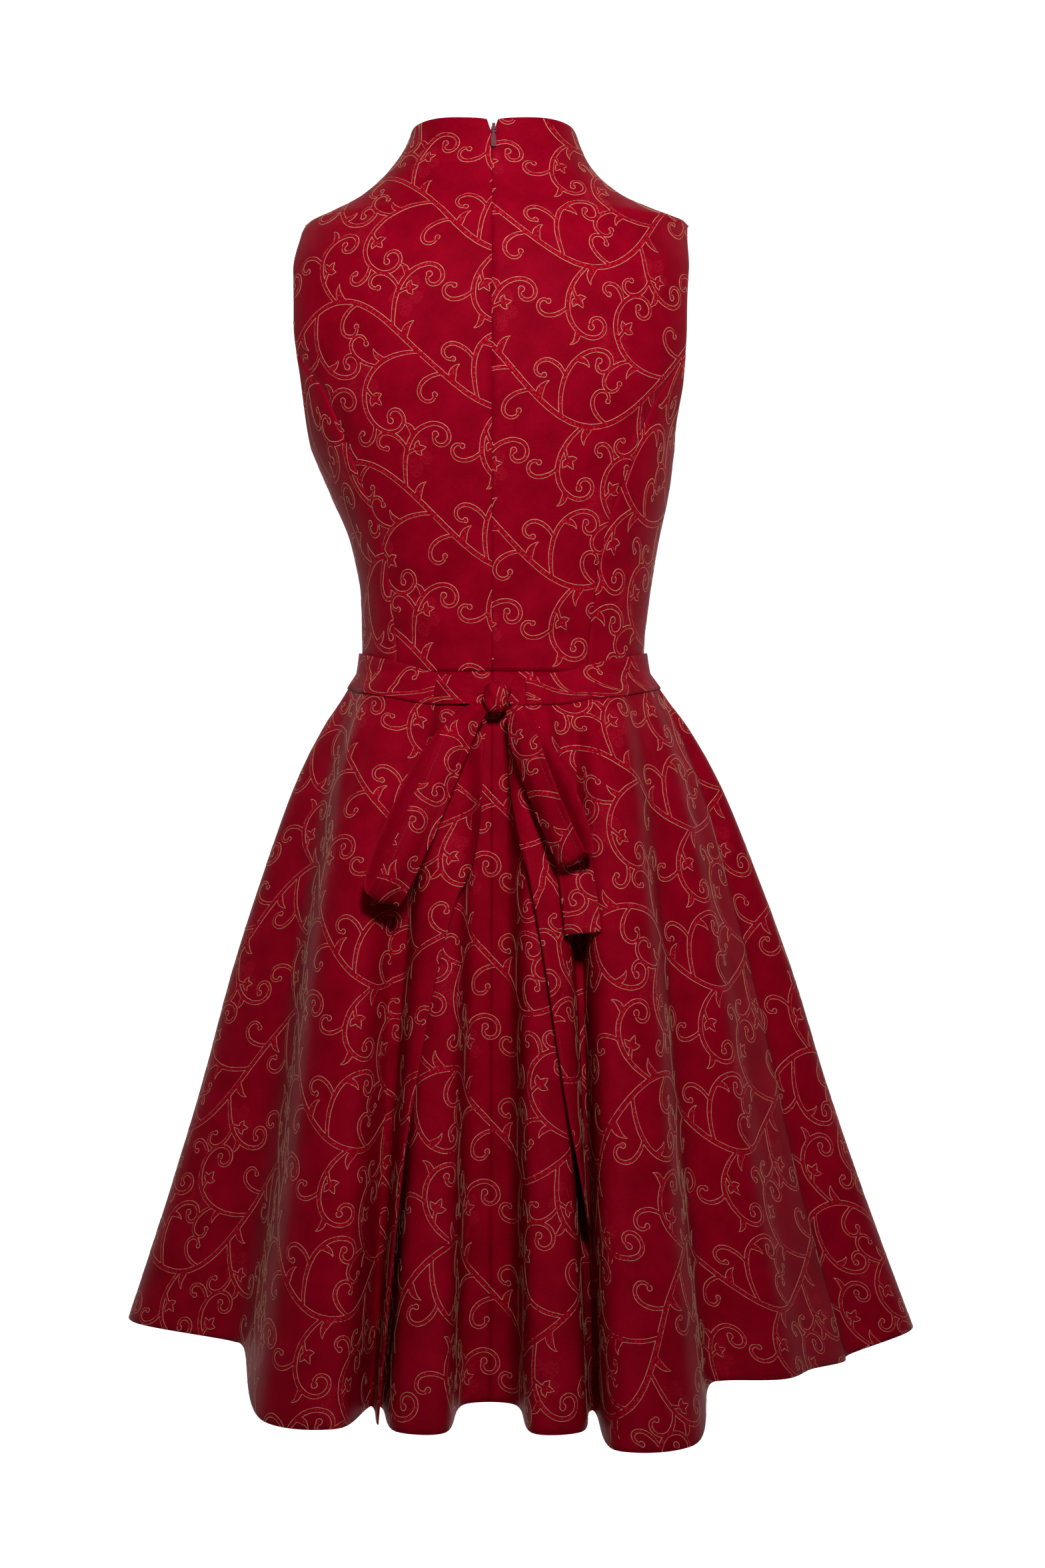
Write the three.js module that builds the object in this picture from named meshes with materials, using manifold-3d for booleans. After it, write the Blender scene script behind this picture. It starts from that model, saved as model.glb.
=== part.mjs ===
/*
 * A sleeveless dirndl with a funnel stand collar and a flared skirt, and the wrap apron that is
 * tied over it in a bow at the back.
 *
 * Millimetres, +Z up. The wearer faces +Y, so the back of the dress looks towards -Y, and +X is
 * the wearer's right. The origin lies on the dress's axis at the height of the shoulder tips.
 */
import * as THREE from 'three';
import { mergeVertices } from 'three/addons/utils/BufferGeometryUtils.js';
import Module from 'manifold-3d';

const wasm = await Module();
wasm.setup();

const { clamp, degToRad, lerp, radToDeg, smoothstep } = THREE.MathUtils;

// ---------------------------------------------------------------------------------------------
// Driving dimensions
// ---------------------------------------------------------------------------------------------

const SEAM_GAP = 0.3; // between two panels that are sewn together
const DRESS_WALL = 1.5; // cloth and its facing
const APRON_WALL = 1.3;
const RIBBON_WALL = 1.2;

const WAIST_Z = -372; // waist seam, under the apron's band
const ARMHOLE = { middle: -95, halfHeight: 94, halfAngle: 22 }; // an ellipse in angle and height
const PRINCESS_TOP_Z = -112; // where the princess seams run into the armholes
const SHOULDER_TIP_Z = ARMHOLE.middle + ARMHOLE.halfHeight;
const SIDE_SEAM = 90; // degrees round from centre back

/* Level sections of the bodice: half widths to the left and right of the zip, and depths. */
const SECTIONS = [
  { z: 90, left: 66, right: 64, back: 57, front: 50, power: 2 },
  { z: 69, left: 69, right: 70, back: 61, front: 54, power: 2 },
  { z: 53, left: 78, right: 76.5, back: 66, front: 57, power: 1.95 },
  { z: 36, left: 92, right: 89, back: 73, front: 62, power: 1.9 },
  { z: 20, left: 112, right: 111, back: 81, front: 67, power: 1.75 },
  { z: 8, left: 137, right: 141, back: 88, front: 72, power: 1.6 },
  { z: 0, left: 153, right: 160, back: 93, front: 77, power: 1.6 },
  { z: -12, left: 161, right: 163, back: 98, front: 84, power: 1.75 },
  { z: -46, left: 171, right: 168, back: 107, front: 98, power: 2.2 },
  { z: -90, left: 172, right: 168, back: 112, front: 112, power: 2.4 },
  { z: -134, left: 164, right: 163, back: 112, front: 121, power: 2.45 },
  { z: -178, left: 153, right: 151, back: 109, front: 123, power: 2.4 },
  { z: -222, left: 135, right: 145, back: 103, front: 115, power: 2.3 },
  { z: -266, left: 117, right: 136, back: 97, front: 103, power: 2.2 },
  { z: -310, left: 109, right: 129, back: 91, front: 94, power: 2.15 },
  { z: -354, left: 108, right: 124.5, back: 88, front: 90, power: 2.1 },
  { z: -376, left: 110.5, right: 127.5, back: 88, front: 91, power: 2.1 },
];

/* Back princess seams, below the armhole: how far each runs from the zip. */
const BACK_PRINCESS = [
  { z: -150, out: 134 },
  { z: -190, out: 117 },
  { z: -240, out: 97 },
  { z: -290, out: 85 },
  { z: -340, out: 78.5 },
  { z: WAIST_Z, out: 77 },
];

/* Front princess seams, below the armhole, in degrees from centre back. */
const FRONT_PRINCESS = [
  { z: -170, angle: 129 },
  { z: -250, angle: 141 },
  { z: WAIST_Z, angle: 147 },
];

/* Top edge of the collar, from centre back to the shoulder seam. */
const COLLAR_TOP = [
  { angle: 0, z: 73 },
  { angle: 12, z: 75 },
  { angle: 45, z: 77.5 },
  { angle: 70, z: 76 },
  { angle: SIDE_SEAM, z: 69 },
];

/* Neckline of the front, from the V at centre front up to the collar. */
const NECKLINE = [
  { up: 0, angle: 180, z: -72 },
  { up: 0.2, angle: 167, z: -52 },
  { up: 0.45, angle: 146, z: -18 },
  { up: 0.7, angle: 124, z: 20 },
  { up: 0.88, angle: 108, z: 48 },
  { up: 1, angle: 100, z: 64.5 },
];

/* The notch where the two back edges part above the zip. */
const NOTCH = { bottom: 60, angle: 3.8 };

/*
 * The skirt's flutes at the hem, from centre back towards +X and on round. Each row is one crest
 * or one valley: its middle, how wide it is, and where on the waist it starts, in degrees.
 */
const FOLDS = [
  { fold: 'valley at centre back', x: -1, y: -202, z: -932, width: 34, waist: 0 },
  { fold: 'crest, dress, right', x: 50, y: -288, z: -936, width: 33, waist: 14 },
  { fold: 'valley', x: 80, y: -216, z: -934, width: 8, waist: 24 },
  { fold: 'crest, apron, right', x: 121, y: -312, z: -942, width: 48, waist: 43 },
  { fold: 'valley', x: 170, y: -184, z: -919, width: 18, waist: 60 },
  { fold: 'soft crest', x: 236, y: -138, z: -922, width: 44, waist: 73 },
  { fold: 'soft valley', x: 280, y: -64, z: -924, width: 28, waist: 82 },
  { fold: 'crest, right side', x: 338, y: 12, z: -912, width: 40, waist: SIDE_SEAM },
  { fold: 'valley', x: 246, y: 99, z: -915, width: 24, waist: 106 },
  { fold: 'crest', x: 264, y: 206, z: -920, width: 42, waist: 122 },
  { fold: 'valley', x: 154, y: 197, z: -917, width: 22, waist: 136 },
  { fold: 'crest', x: 139, y: 286, z: -922, width: 42, waist: 151 },
  { fold: 'valley', x: 54, y: 234, z: -918, width: 22, waist: 165 },
  { fold: 'crest at centre front', x: 0, y: 305, z: -922, width: 42, waist: 180 },
  { fold: 'valley', x: -54, y: 232, z: -918, width: 22, waist: 195 },
  { fold: 'crest', x: -137, y: 269, z: -920, width: 42, waist: 209 },
  { fold: 'valley', x: -151, y: 180, z: -915, width: 22, waist: 224 },
  { fold: 'crest', x: -242, y: 170, z: -914, width: 42, waist: 238 },
  { fold: 'valley', x: -225, y: 77, z: -908, width: 24, waist: 254 },
  { fold: 'crest, left side', x: -290, y: -6, z: -901, width: 44, waist: 360 - SIDE_SEAM },
  { fold: 'valley', x: -197, y: -106, z: -904, width: 22, waist: 288 },
  { fold: 'crest, apron, left', x: -140, y: -266, z: -935, width: 52, waist: 302 },
  { fold: 'valley', x: -89, y: -205, z: -933, width: 10, waist: 334 },
  { fold: 'crest, dress, left', x: -51, y: -287, z: -936, width: 33, waist: 347 },
];
const RIGHT_SIDE = 7; // row of the crest at each side seam
const LEFT_SIDE = 19;

/* How far the skirt has spread, from waist to hem, at a share of its drop. */
const FLARE = [
  { drop: 0, spread: 0 },
  { drop: 0.042, spread: 0.072 },
  { drop: 0.084, spread: 0.148 },
  { drop: 0.168, spread: 0.258 },
  { drop: 0.293, spread: 0.387 },
  { drop: 0.46, spread: 0.54 },
  { drop: 0.63, spread: 0.67 },
  { drop: 0.8, spread: 0.815 },
  { drop: 1, spread: 1 },
];

/* The apron's two back edges: their distance from the zip at each height. */
const SLIT = [
  { z: -395, left: -2, right: 11 },
  { z: -460, left: -9, right: 18 },
  { z: -516, left: -19, right: 27 },
  { z: -600, left: -38, right: 40 },
  { z: -706, left: -54, right: 54 },
  { z: -800, left: -64, right: 67 },
  { z: -870, left: -70, right: 76 },
  { z: -945, left: -76, right: 85 },
];
const SLIT_LIFT = { height: 3.5, reach: 0.5, from: 0.05, to: 0.3 }; // the free edges stand off the dress

/* The apron's band: its two edges at each angle round the waist. */
const BAND = [
  { angle: 0, top: -385, bottom: -403 },
  { angle: 22, top: -374, bottom: -400 },
  { angle: 45, top: -363, bottom: -394 },
  { angle: 90, top: -354, bottom: -385 },
  { angle: 180, top: -352, bottom: -382 },
];
const BAND_END = { right: 11, left: 21.5 }; // degrees from centre back
const BAND_WALL = 1.8;
const BAND_CLEARANCE = { bodice: 1.2, skirt: 2.2, fade: 20 };
const APRON_CLEARANCE = { waist: 0.95, skirt: 3.4, from: 0.03, to: 0.2 }; // shares of the skirt's drop

/* The concealed zip: its tape lies behind the centre back edges. */
const ZIP = { halfWidth: 11, tapeWall: 1, behind: 1.6, neck: 0, top: 66, bottom: -520 };

/* The zip's slider and pull tab, in a frame that lies on the collar: -Y is out, -Z is down. */
const SLIDER = {
  x: 1,
  z: 65, // height of the tab's hinge
  seat: 0.6, // from the cloth to the plate
  plate: { width: 4, above: 2.2, below: 2.8, wall: 1.2 },
  post: { width: 2.6, top: 5.4 },
  ear: { gap: 2, width: 0.8, reach: 1.7, half: 0.9 },
  hingeOut: 2.8,
};
const TAB = { length: 16.4, neck: 1.3, widest: 4.2, widestAt: 13.6, flareAt: 8.2, wall: 1.2 };

const KNOT = { x: 3.5, y: -111.5, z: -394, width: 20, depth: 20, height: 26, power: 3.4 };
const TIE = { rise: 4, leftEnd: -6.1, rightEnd: 16.6 }; // each swells outwards towards the knot

/*
 * The bow's four strips, from the knot outwards. Each row gives the middle of the strip and its
 * width there. The width leans from +X towards +Z, and tilts towards the front of the bow.
 */
const LEFT_LOOP = [
  { x: -8.3, y: -118.6, z: -400.6, width: 13, lean: -28, tilt: 0 },
  { x: -19, y: -130, z: -412, width: 22, lean: -30, tilt: -0.1 },
  { x: -28, y: -143, z: -429, width: 27, lean: -30, tilt: -0.2 },
  { x: -36, y: -154, z: -449, width: 28, lean: -28, tilt: -0.3 },
  { x: -45, y: -165, z: -471, width: 28, lean: -27, tilt: -0.3 },
  { x: -54, y: -173, z: -493, width: 28, lean: -27, tilt: -0.3 },
  { x: -65, y: -179, z: -518, width: 28, lean: -27, tilt: -0.35 },
  { x: -77, y: -180, z: -543, width: 28, lean: -27, tilt: -0.4 },
  { x: -83, y: -174, z: -552, width: 28, lean: -27, tilt: -0.4 },
  { x: -86, y: -166, z: -545, width: 28, lean: -27, tilt: -0.4 },
  { x: -79, y: -163, z: -520, width: 28, lean: -27, tilt: -0.3 },
  { x: -67, y: -160, z: -492, width: 28, lean: -27, tilt: -0.2 },
  { x: -53, y: -153, z: -462, width: 28, lean: -28, tilt: -0.1 },
  { x: -38, y: -142.5, z: -436, width: 26, lean: -30, tilt: 0 },
  { x: -23, y: -129, z: -416, width: 20, lean: -30, tilt: 0 },
  { x: -9, y: -116.4, z: -402.8, width: 12, lean: -28, tilt: 0 },
];
const RIGHT_LOOP = [
  { x: 17, y: -119.4, z: -401, width: 13, lean: 28, tilt: 0 },
  { x: 21, y: -129, z: -414, width: 21, lean: 30, tilt: 0.2 },
  { x: 25, y: -143.5, z: -429, width: 26, lean: 32, tilt: 0.5 },
  { x: 31, y: -158, z: -448, width: 28, lean: 32, tilt: 0.7 },
  { x: 38, y: -169, z: -467, width: 28, lean: 30, tilt: 0.75 },
  { x: 47, y: -179, z: -489, width: 28, lean: 28, tilt: 0.75 },
  { x: 56, y: -187, z: -509, width: 28, lean: 26, tilt: 0.7 },
  { x: 62, y: -188, z: -520, width: 28, lean: 26, tilt: 0.6 },
  { x: 68, y: -181, z: -519, width: 28, lean: 26, tilt: 0.55 },
  { x: 65, y: -175, z: -502, width: 28, lean: 28, tilt: 0.5 },
  { x: 58, y: -167.5, z: -481, width: 28, lean: 30, tilt: 0.45 },
  { x: 48, y: -158, z: -459, width: 27, lean: 32, tilt: 0.35 },
  { x: 37, y: -146, z: -438, width: 24, lean: 32, tilt: 0.2 },
  { x: 27, y: -132, z: -420, width: 18, lean: 32, tilt: 0.1 },
  { x: 16.4, y: -117.1, z: -404, width: 9, lean: 30, tilt: 0 },
];
const LEFT_TAIL = [
  { x: -8.6, y: -114.4, z: -405.5, width: 8, lean: -28, tilt: 0 },
  { x: -24, y: -125, z: -421, width: 15, lean: -30, tilt: 0 },
  { x: -38, y: -138, z: -441, width: 20, lean: -30, tilt: 0 },
  { x: -52, y: -148, z: -466, width: 22, lean: -28, tilt: 0 },
  { x: -62, y: -153, z: -489, width: 24, lean: -27, tilt: 0 },
  { x: -71, y: -155, z: -508, width: 26, lean: -27, tilt: 0 },
  { x: -78, y: -157, z: -526, width: 27, lean: -27, tilt: 0 },
];
const RIGHT_TAIL = [
  { x: 15.4, y: -115.6, z: -405.8, width: 8, lean: 28, tilt: 0 },
  { x: 29, y: -129.5, z: -427, width: 17, lean: 30, tilt: 0 },
  { x: 40, y: -143, z: -449, width: 22, lean: 28, tilt: 0 },
  { x: 51, y: -154.5, z: -475, width: 25, lean: 24, tilt: 0.05 },
  { x: 59, y: -163.5, z: -500, width: 27, lean: 18, tilt: 0.05 },
  { x: 64, y: -171, z: -524, width: 28, lean: 12, tilt: 0.1 },
  { x: 67.5, y: -179.5, z: -549, width: 28, lean: 6, tilt: 0.1 },
  { x: 70.5, y: -188, z: -576, width: 28, lean: 4, tilt: 0.05 },
];

// ---------------------------------------------------------------------------------------------
// Tables and surfaces
// ---------------------------------------------------------------------------------------------

/** A smooth curve through one column of a table, which never overshoots the rows. */
function through(rows, at, column) {
  const knots = rows.map((row) => [row[at], row[column]]).sort((a, b) => a[0] - b[0]);
  const last = knots.length - 1;
  const rise = (i) => (knots[i + 1][1] - knots[i][1]) / (knots[i + 1][0] - knots[i][0]);
  const slopes = knots.map((knot, i) => {
    if (i === 0) return rise(0);
    if (i === last) return rise(last - 1);
    const [before, after] = [rise(i - 1), rise(i)];
    return before * after <= 0 ? 0 : (2 * before * after) / (before + after);
  });
  return (value) => {
    const x = clamp(value, knots[0][0], knots[last][0]);
    let i = 0;
    while (i < last - 1 && x > knots[i + 1][0]) i += 1;
    const step = knots[i + 1][0] - knots[i][0];
    const t = (x - knots[i][0]) / step;
    const settle = t * t * (3 - 2 * t);
    const leave = t * (1 - t) * (1 - t) * step * slopes[i];
    const arrive = t * t * (t - 1) * step * slopes[i + 1];
    return lerp(knots[i][1], knots[i + 1][1], settle) + leave + arrive;
  };
}

const section = Object.fromEntries(
  ['left', 'right', 'back', 'front', 'power'].map((column) => [column, through(SECTIONS, 'z', column)]),
);

/** A value raised to a power, with its sign kept. */
function signedPower(value, power) {
  return Math.sign(value) * Math.abs(value) ** power;
}

/** The bodice's outer face at an angle from centre back, positive towards +X, and a height. */
function bodice(angle, z) {
  const across = signedPower(Math.sin(degToRad(angle)), 2 / section.power(z));
  const along = signedPower(Math.cos(degToRad(angle)), 2 / section.power(z));
  const half = across < 0 ? section.left(z) : section.right(z);
  const depth = along > 0 ? section.back(z) : section.front(z);
  return new THREE.Vector3(half * across, -depth * along, z);
}

const foldCount = FOLDS.length;
const hem = new THREE.CatmullRomCurve3(
  FOLDS.flatMap(({ x, y, z, width }) => {
    const around = new THREE.Vector3(-y, x, 0).normalize();
    const middle = new THREE.Vector3(x, y, z);
    return [-0.5, 0.5].map((share) => middle.clone().addScaledVector(around, share * width));
  }),
  true,
  'centripetal',
);
const waistRows = FOLDS.map(({ waist }, fold) => ({ fold, waist }));
const waistAngle = through([...waistRows, { fold: foldCount, waist: 360 }], 'fold', 'waist');
const spread = through(FLARE, 'drop', 'spread');

/** A fold number brought into the table's range, so that -1 is the last row. */
function wrapped(fold) {
  return ((fold % foldCount) + foldCount) % foldCount;
}

/** The hem below a fold number: row n of FOLDS has its middle at n. */
function hemPoint(fold) {
  return hem.getPoint(wrapped(fold + 0.25) / foldCount);
}

/** The dress skirt's outer face: a fold number, and a rise from 0 at the hem to 1 at the waist. */
function skirt(fold, rise) {
  const top = bodice(waistAngle(wrapped(fold)), WAIST_Z);
  const bottom = hemPoint(fold);
  const out = spread(1 - rise);
  const z = lerp(bottom.z, WAIST_Z, rise);
  return new THREE.Vector3(lerp(top.x, bottom.x, out), lerp(top.y, bottom.y, out), z);
}

/** How far up from the hem a height lies on a fold. */
function riseAt(fold, z) {
  const bottom = hemPoint(fold).z;
  return (z - bottom) / (WAIST_Z - bottom);
}

/** The dress's outer face on a fold number's line at any height, on the bodice or the skirt. */
function dress(fold, z) {
  return z > WAIST_Z ? bodice(waistAngle(wrapped(fold)), z) : skirt(fold, riseAt(fold, z));
}

const HALVINGS = 30;

/** Where a rising function takes a value, between two places. */
function whereEquals(rising, value, low, high) {
  let [from, to] = [low, high];
  for (let step = 0; step < HALVINGS; step += 1) {
    const middle = (from + to) / 2;
    if (rising(middle) < value) from = middle;
    else to = middle;
  }
  return (from + to) / 2;
}

/** The fold number, within a range, whose line crosses a distance from the zip at a height. */
function foldAt(x, z, low = -2.5, high = 2.5) {
  return whereEquals((fold) => dress(fold, z).x, x, low, high);
}

/** The fold number of a waist angle. */
function foldOfAngle(angle) {
  return whereEquals(waistAngle, angle, 0, foldCount);
}

/** The way out of a face at a place: `face(a, b)` has a running towards +X at the back, b up. */
function outward(face, a, b, stepA, stepB) {
  const around = face(a + stepA, b).sub(face(a - stepA, b));
  const up = face(a, b + stepB).sub(face(a, b - stepB));
  return around.cross(up).normalize();
}

// ---------------------------------------------------------------------------------------------
// Closed walls
// ---------------------------------------------------------------------------------------------

/** Six times the volume inside some triangles, negative where they face inwards. */
function signedVolume(points, triangles) {
  let volume = 0;
  for (let i = 0; i < triangles.length; i += 3) {
    const [a, b, c] = [points[triangles[i]], points[triangles[i + 1]], points[triangles[i + 2]]];
    volume += a.dot(b.clone().cross(c));
  }
  return volume;
}

/** A closed body from points and triangles, faced outwards. */
function bodyOf(points, triangles) {
  const faced = signedVolume(points, triangles) < 0 ? [...triangles].reverse() : triangles;
  const geometry = new THREE.BufferGeometry().setFromPoints(points);
  geometry.setIndex(faced);
  geometry.computeVertexNormals();
  return geometry;
}

/** The closed wall between two grids of points, each a list of rows. */
function wallBetween(outer, inner) {
  const rows = outer.length;
  const columns = outer[0].length;
  const at = (side, row, column) => (side * rows + row) * columns + column;
  const triangles = [];
  const quad = (a, b, c, d) => triangles.push(a, b, c, a, c, d);
  for (let row = 0; row < rows - 1; row += 1) {
    for (let column = 0; column < columns - 1; column += 1) {
      quad(at(0, row, column), at(0, row, column + 1), at(0, row + 1, column + 1), at(0, row + 1, column));
      quad(at(1, row, column), at(1, row + 1, column), at(1, row + 1, column + 1), at(1, row, column + 1));
    }
  }
  for (let column = 0; column < columns - 1; column += 1) {
    quad(at(0, 0, column + 1), at(0, 0, column), at(1, 0, column), at(1, 0, column + 1));
    const top = rows - 1;
    quad(at(0, top, column), at(0, top, column + 1), at(1, top, column + 1), at(1, top, column));
  }
  for (let row = 0; row < rows - 1; row += 1) {
    quad(at(0, row, 0), at(0, row + 1, 0), at(1, row + 1, 0), at(1, row, 0));
    const end = columns - 1;
    quad(at(0, row + 1, end), at(0, row, end), at(1, row, end), at(1, row + 1, end));
  }
  return bodyOf([...outer.flat(), ...inner.flat()], triangles);
}

/** A number, or what a function says at a place. */
function valueAt(value, a, b) {
  return typeof value === 'function' ? value(a, b) : value;
}

/**
 * A cloth wall that lies on a face. `grid` is a list of rows of [a, b] places on the face, and
 * the wall fills from `near` to `far`, measured out from it. `levelRows` stay at their height.
 */
function wallOn(face, grid, { near, far, steps, levelRows = [] }) {
  const layers = [far, near].map((distance) =>
    grid.map((row, index) =>
      row.map(([a, b]) => {
        const way = outward(face, a, b, steps[0], steps[1]);
        if (levelRows.includes(index)) way.setZ(0).normalize();
        return face(a, b).addScaledVector(way, valueAt(distance, a, b));
      }),
    ),
  );
  return wallBetween(layers[0], layers[1]);
}

/** Values from one number to another, ends included. */
function spaced(from, to, count) {
  return Array.from({ length: count + 1 }, (_, i) => lerp(from, to, i / count));
}

// ---------------------------------------------------------------------------------------------
// Materials and nodes
// ---------------------------------------------------------------------------------------------

const materials = {
  jacquard: new THREE.MeshStandardMaterial({ color: 0x96101f, roughness: 0.55, metalness: 0 }),
  zipTape: new THREE.MeshStandardMaterial({ color: 0x7a1420, roughness: 0.8, metalness: 0 }),
  zipMetal: new THREE.MeshStandardMaterial({ color: 0x7c3444, roughness: 0.4, metalness: 0.1 }),
};

const dirndl = new THREE.Group();

/** Adds one named piece to the dirndl. */
function addPiece(name, geometry, material = materials.jacquard) {
  const mesh = new THREE.Mesh(geometry, material);
  mesh.name = name;
  dirndl.add(mesh);
  return mesh;
}

// ---------------------------------------------------------------------------------------------
// Bodice
// ---------------------------------------------------------------------------------------------

const BODICE_STEPS = [0.5, 0.5]; // degrees and millimetres, for the way out of the face
const SEAM_ROWS = 8; // along a princess seam, and along a side seam
const ARMHOLE_ROWS = 4;
const COLLAR_ROWS = 5;
const BODICE_COLUMNS = { back: 6, sideBack: 4, sideFront: 6, front: 5 };

const collarTop = through(COLLAR_TOP, 'angle', 'z');
const necklineAngle = through(NECKLINE, 'up', 'angle');
const necklineZ = through(NECKLINE, 'up', 'z');

/** How far the armhole's edge lies from the side seam's line at a height, in degrees. */
function armholeReach(z) {
  const up = clamp((z - ARMHOLE.middle) / ARMHOLE.halfHeight, -1, 1);
  return ARMHOLE.halfAngle * Math.sqrt(1 - up * up);
}

/** A back princess seam's angle by height, on the side of the sign. It ends on the armhole. */
function backPrincess(side) {
  const rows = BACK_PRINCESS.map(({ z, out }) => {
    const share = out / (side < 0 ? section.left(z) : section.right(z));
    return { z, angle: radToDeg(Math.asin(share ** (section.power(z) / 2))) };
  });
  const end = { z: PRINCESS_TOP_Z, angle: SIDE_SEAM - armholeReach(PRINCESS_TOP_Z) };
  return through([...rows, end], 'z', 'angle');
}

/** The front princess seams' angle by height. */
const frontPrincess = through(
  [...FRONT_PRINCESS, { z: PRINCESS_TOP_Z, angle: SIDE_SEAM + armholeReach(PRINCESS_TOP_Z) }],
  'z',
  'angle',
);

/** Heights up the armhole's edge, evenly spaced round its ellipse. */
function armholeHeights(from, to, count) {
  const turn = (z) => Math.asin(clamp((z - ARMHOLE.middle) / ARMHOLE.halfHeight, -1, 1));
  return spaced(turn(from), turn(to), count).map((t) => ARMHOLE.middle + ARMHOLE.halfHeight * Math.sin(t));
}

/** Narrows a row of places by half a seam gap at each end. */
function insetRow(face, row) {
  const last = row.length - 1;
  const nudge = (place, next) => {
    const distance = face(...place).distanceTo(face(...next));
    const share = SEAM_GAP / 2 / distance;
    return [lerp(place[0], next[0], share), lerp(place[1], next[1], share)];
  };
  return row.map((place, i) => {
    if (i === 0) return nudge(place, row[1]);
    return i === last ? nudge(place, row[last - 1]) : place;
  });
}

/** The same rows on the other side of the centre line, still running towards +X at the back. */
function mirrored(grid) {
  return grid.map((row) => [...row].reverse().map(([angle, z]) => [-angle, z]));
}

/** Adds a bodice panel whose rows are given on the right, on the side of the sign. */
function addBodicePanel(name, grid, side) {
  const placed = (side < 0 ? mirrored(grid) : grid).map((row) => insetRow(bodice, row));
  const wall = { near: -DRESS_WALL, far: 0, steps: BODICE_STEPS, levelRows: [0] };
  addPiece(name, wallOn(bodice, placed, wall));
}

/** The outer edge of a back or front panel: princess seam, armhole, then shoulder seam. */
function outerEdge(princess, facing) {
  const seam = spaced(WAIST_Z, PRINCESS_TOP_Z, SEAM_ROWS).map((z) => [princess(z), z]);
  const armhole = armholeHeights(PRINCESS_TOP_Z, SHOULDER_TIP_Z, ARMHOLE_ROWS)
    .slice(1)
    .map((z) => [SIDE_SEAM + facing * armholeReach(z), z]);
  const shoulder = spaced(SHOULDER_TIP_Z, collarTop(SIDE_SEAM), COLLAR_ROWS)
    .slice(1)
    .map((z) => [SIDE_SEAM, z]);
  return [...seam, ...armhole, ...shoulder];
}

/** Back panel with its grown-on collar, from centre back out to the princess seam. */
function backPanel(side, columns) {
  const outer = outerEdge(backPrincess(side), -1);
  const top = outer.length - 1;
  const collarStart = SEAM_ROWS + ARMHOLE_ROWS;
  return outer.map(([angle, z], row) => {
    const collar = clamp((row - collarStart) / (top - collarStart), 0, 1);
    const centreZ = lerp(z, collarTop(0), smoothstep(collar, 0, 1));
    const parted = NOTCH.angle * clamp((centreZ - NOTCH.bottom) / (collarTop(0) - NOTCH.bottom), 0, 1);
    return spaced(0, 1, columns).map((share) => {
      const around = lerp(parted, angle, share);
      const straight = lerp(centreZ, z, share);
      const edge = lerp(collarTop(0), collarTop(SIDE_SEAM), share);
      return [around, straight + collar * (collarTop(around) - edge)];
    });
  });
}

/** Front panel, from centre front out to the princess seam, with its neckline. */
function frontPanel(columns) {
  const outer = outerEdge(frontPrincess, 1);
  const neckRows = outer.length - 1 - SEAM_ROWS;
  const vBottom = necklineZ(0);
  return outer.map(([angle, z], row) => {
    const up = Math.max(row - SEAM_ROWS, 0) / neckRows;
    const centre =
      row <= SEAM_ROWS ? [180, lerp(WAIST_Z, vBottom, row / SEAM_ROWS)] : [necklineAngle(up), necklineZ(up)];
    return spaced(0, 1, columns).map((share) => [lerp(angle, centre[0], share), lerp(z, centre[1], share)]);
  });
}

/** Side panel between a princess seam and the side seam, below the armhole. */
function sidePanel(princess, facing, columns) {
  const underarm = ARMHOLE.middle - ARMHOLE.halfHeight;
  const topHeights = armholeHeights(PRINCESS_TOP_Z, underarm, columns);
  return spaced(0, 1, SEAM_ROWS).map((up) => {
    const row = topHeights.map((topZ, column) => {
      const z = lerp(WAIST_Z, topZ, up);
      const seam = princess(z);
      const topSeam = princess(topZ);
      const topShare = (SIDE_SEAM + facing * armholeReach(topZ) - topSeam) / (SIDE_SEAM - topSeam);
      return [lerp(seam, SIDE_SEAM, lerp(column / columns, topShare, up)), z];
    });
    return facing < 0 ? row : row.reverse();
  });
}

for (const [side, hand] of [[1, 'right'], [-1, 'left']]) {
  const { back, sideBack, sideFront, front } = BODICE_COLUMNS;
  addBodicePanel(`bodice_back_${hand}`, backPanel(side, back), side);
  addBodicePanel(`bodice_side_back_${hand}`, sidePanel(backPrincess(side), -1, sideBack), side);
  addBodicePanel(`bodice_side_front_${hand}`, sidePanel(frontPrincess, 1, sideFront), side);
  addBodicePanel(`bodice_front_${hand}`, frontPanel(front), side);
}

// ---------------------------------------------------------------------------------------------
// Skirt
// ---------------------------------------------------------------------------------------------

const SKIRT_STEPS = [0.02, 0.002]; // folds and shares of the drop, for the way out of the face
const FOLD_COLUMNS = 6; // columns for each row of FOLDS
const BACK_HEM_Z = FOLDS[0].z;
const SKIRT_RISES = [0, 0.18, 0.36, 0.52, 0.66, 0.78, 0.89, 0.96, 1];
const WAIST_GAP_RISE = SEAM_GAP / (WAIST_Z - BACK_HEM_Z); // the waist seam's gap, as a share of the drop

/** Adds a skirt panel between two fold numbers. */
function addSkirtPanel(name, from, to) {
  const columns = spaced(from, to, Math.round((to - from) * FOLD_COLUMNS));
  const grid = SKIRT_RISES.map((rise) => {
    const height = Math.min(rise, 1 - WAIST_GAP_RISE);
    return insetRow(skirt, columns.map((fold) => [fold, height]));
  });
  const wall = { near: -DRESS_WALL, far: 0, steps: SKIRT_STEPS, levelRows: [0, grid.length - 1] };
  addPiece(name, wallOn(skirt, grid, wall));
}

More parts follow.
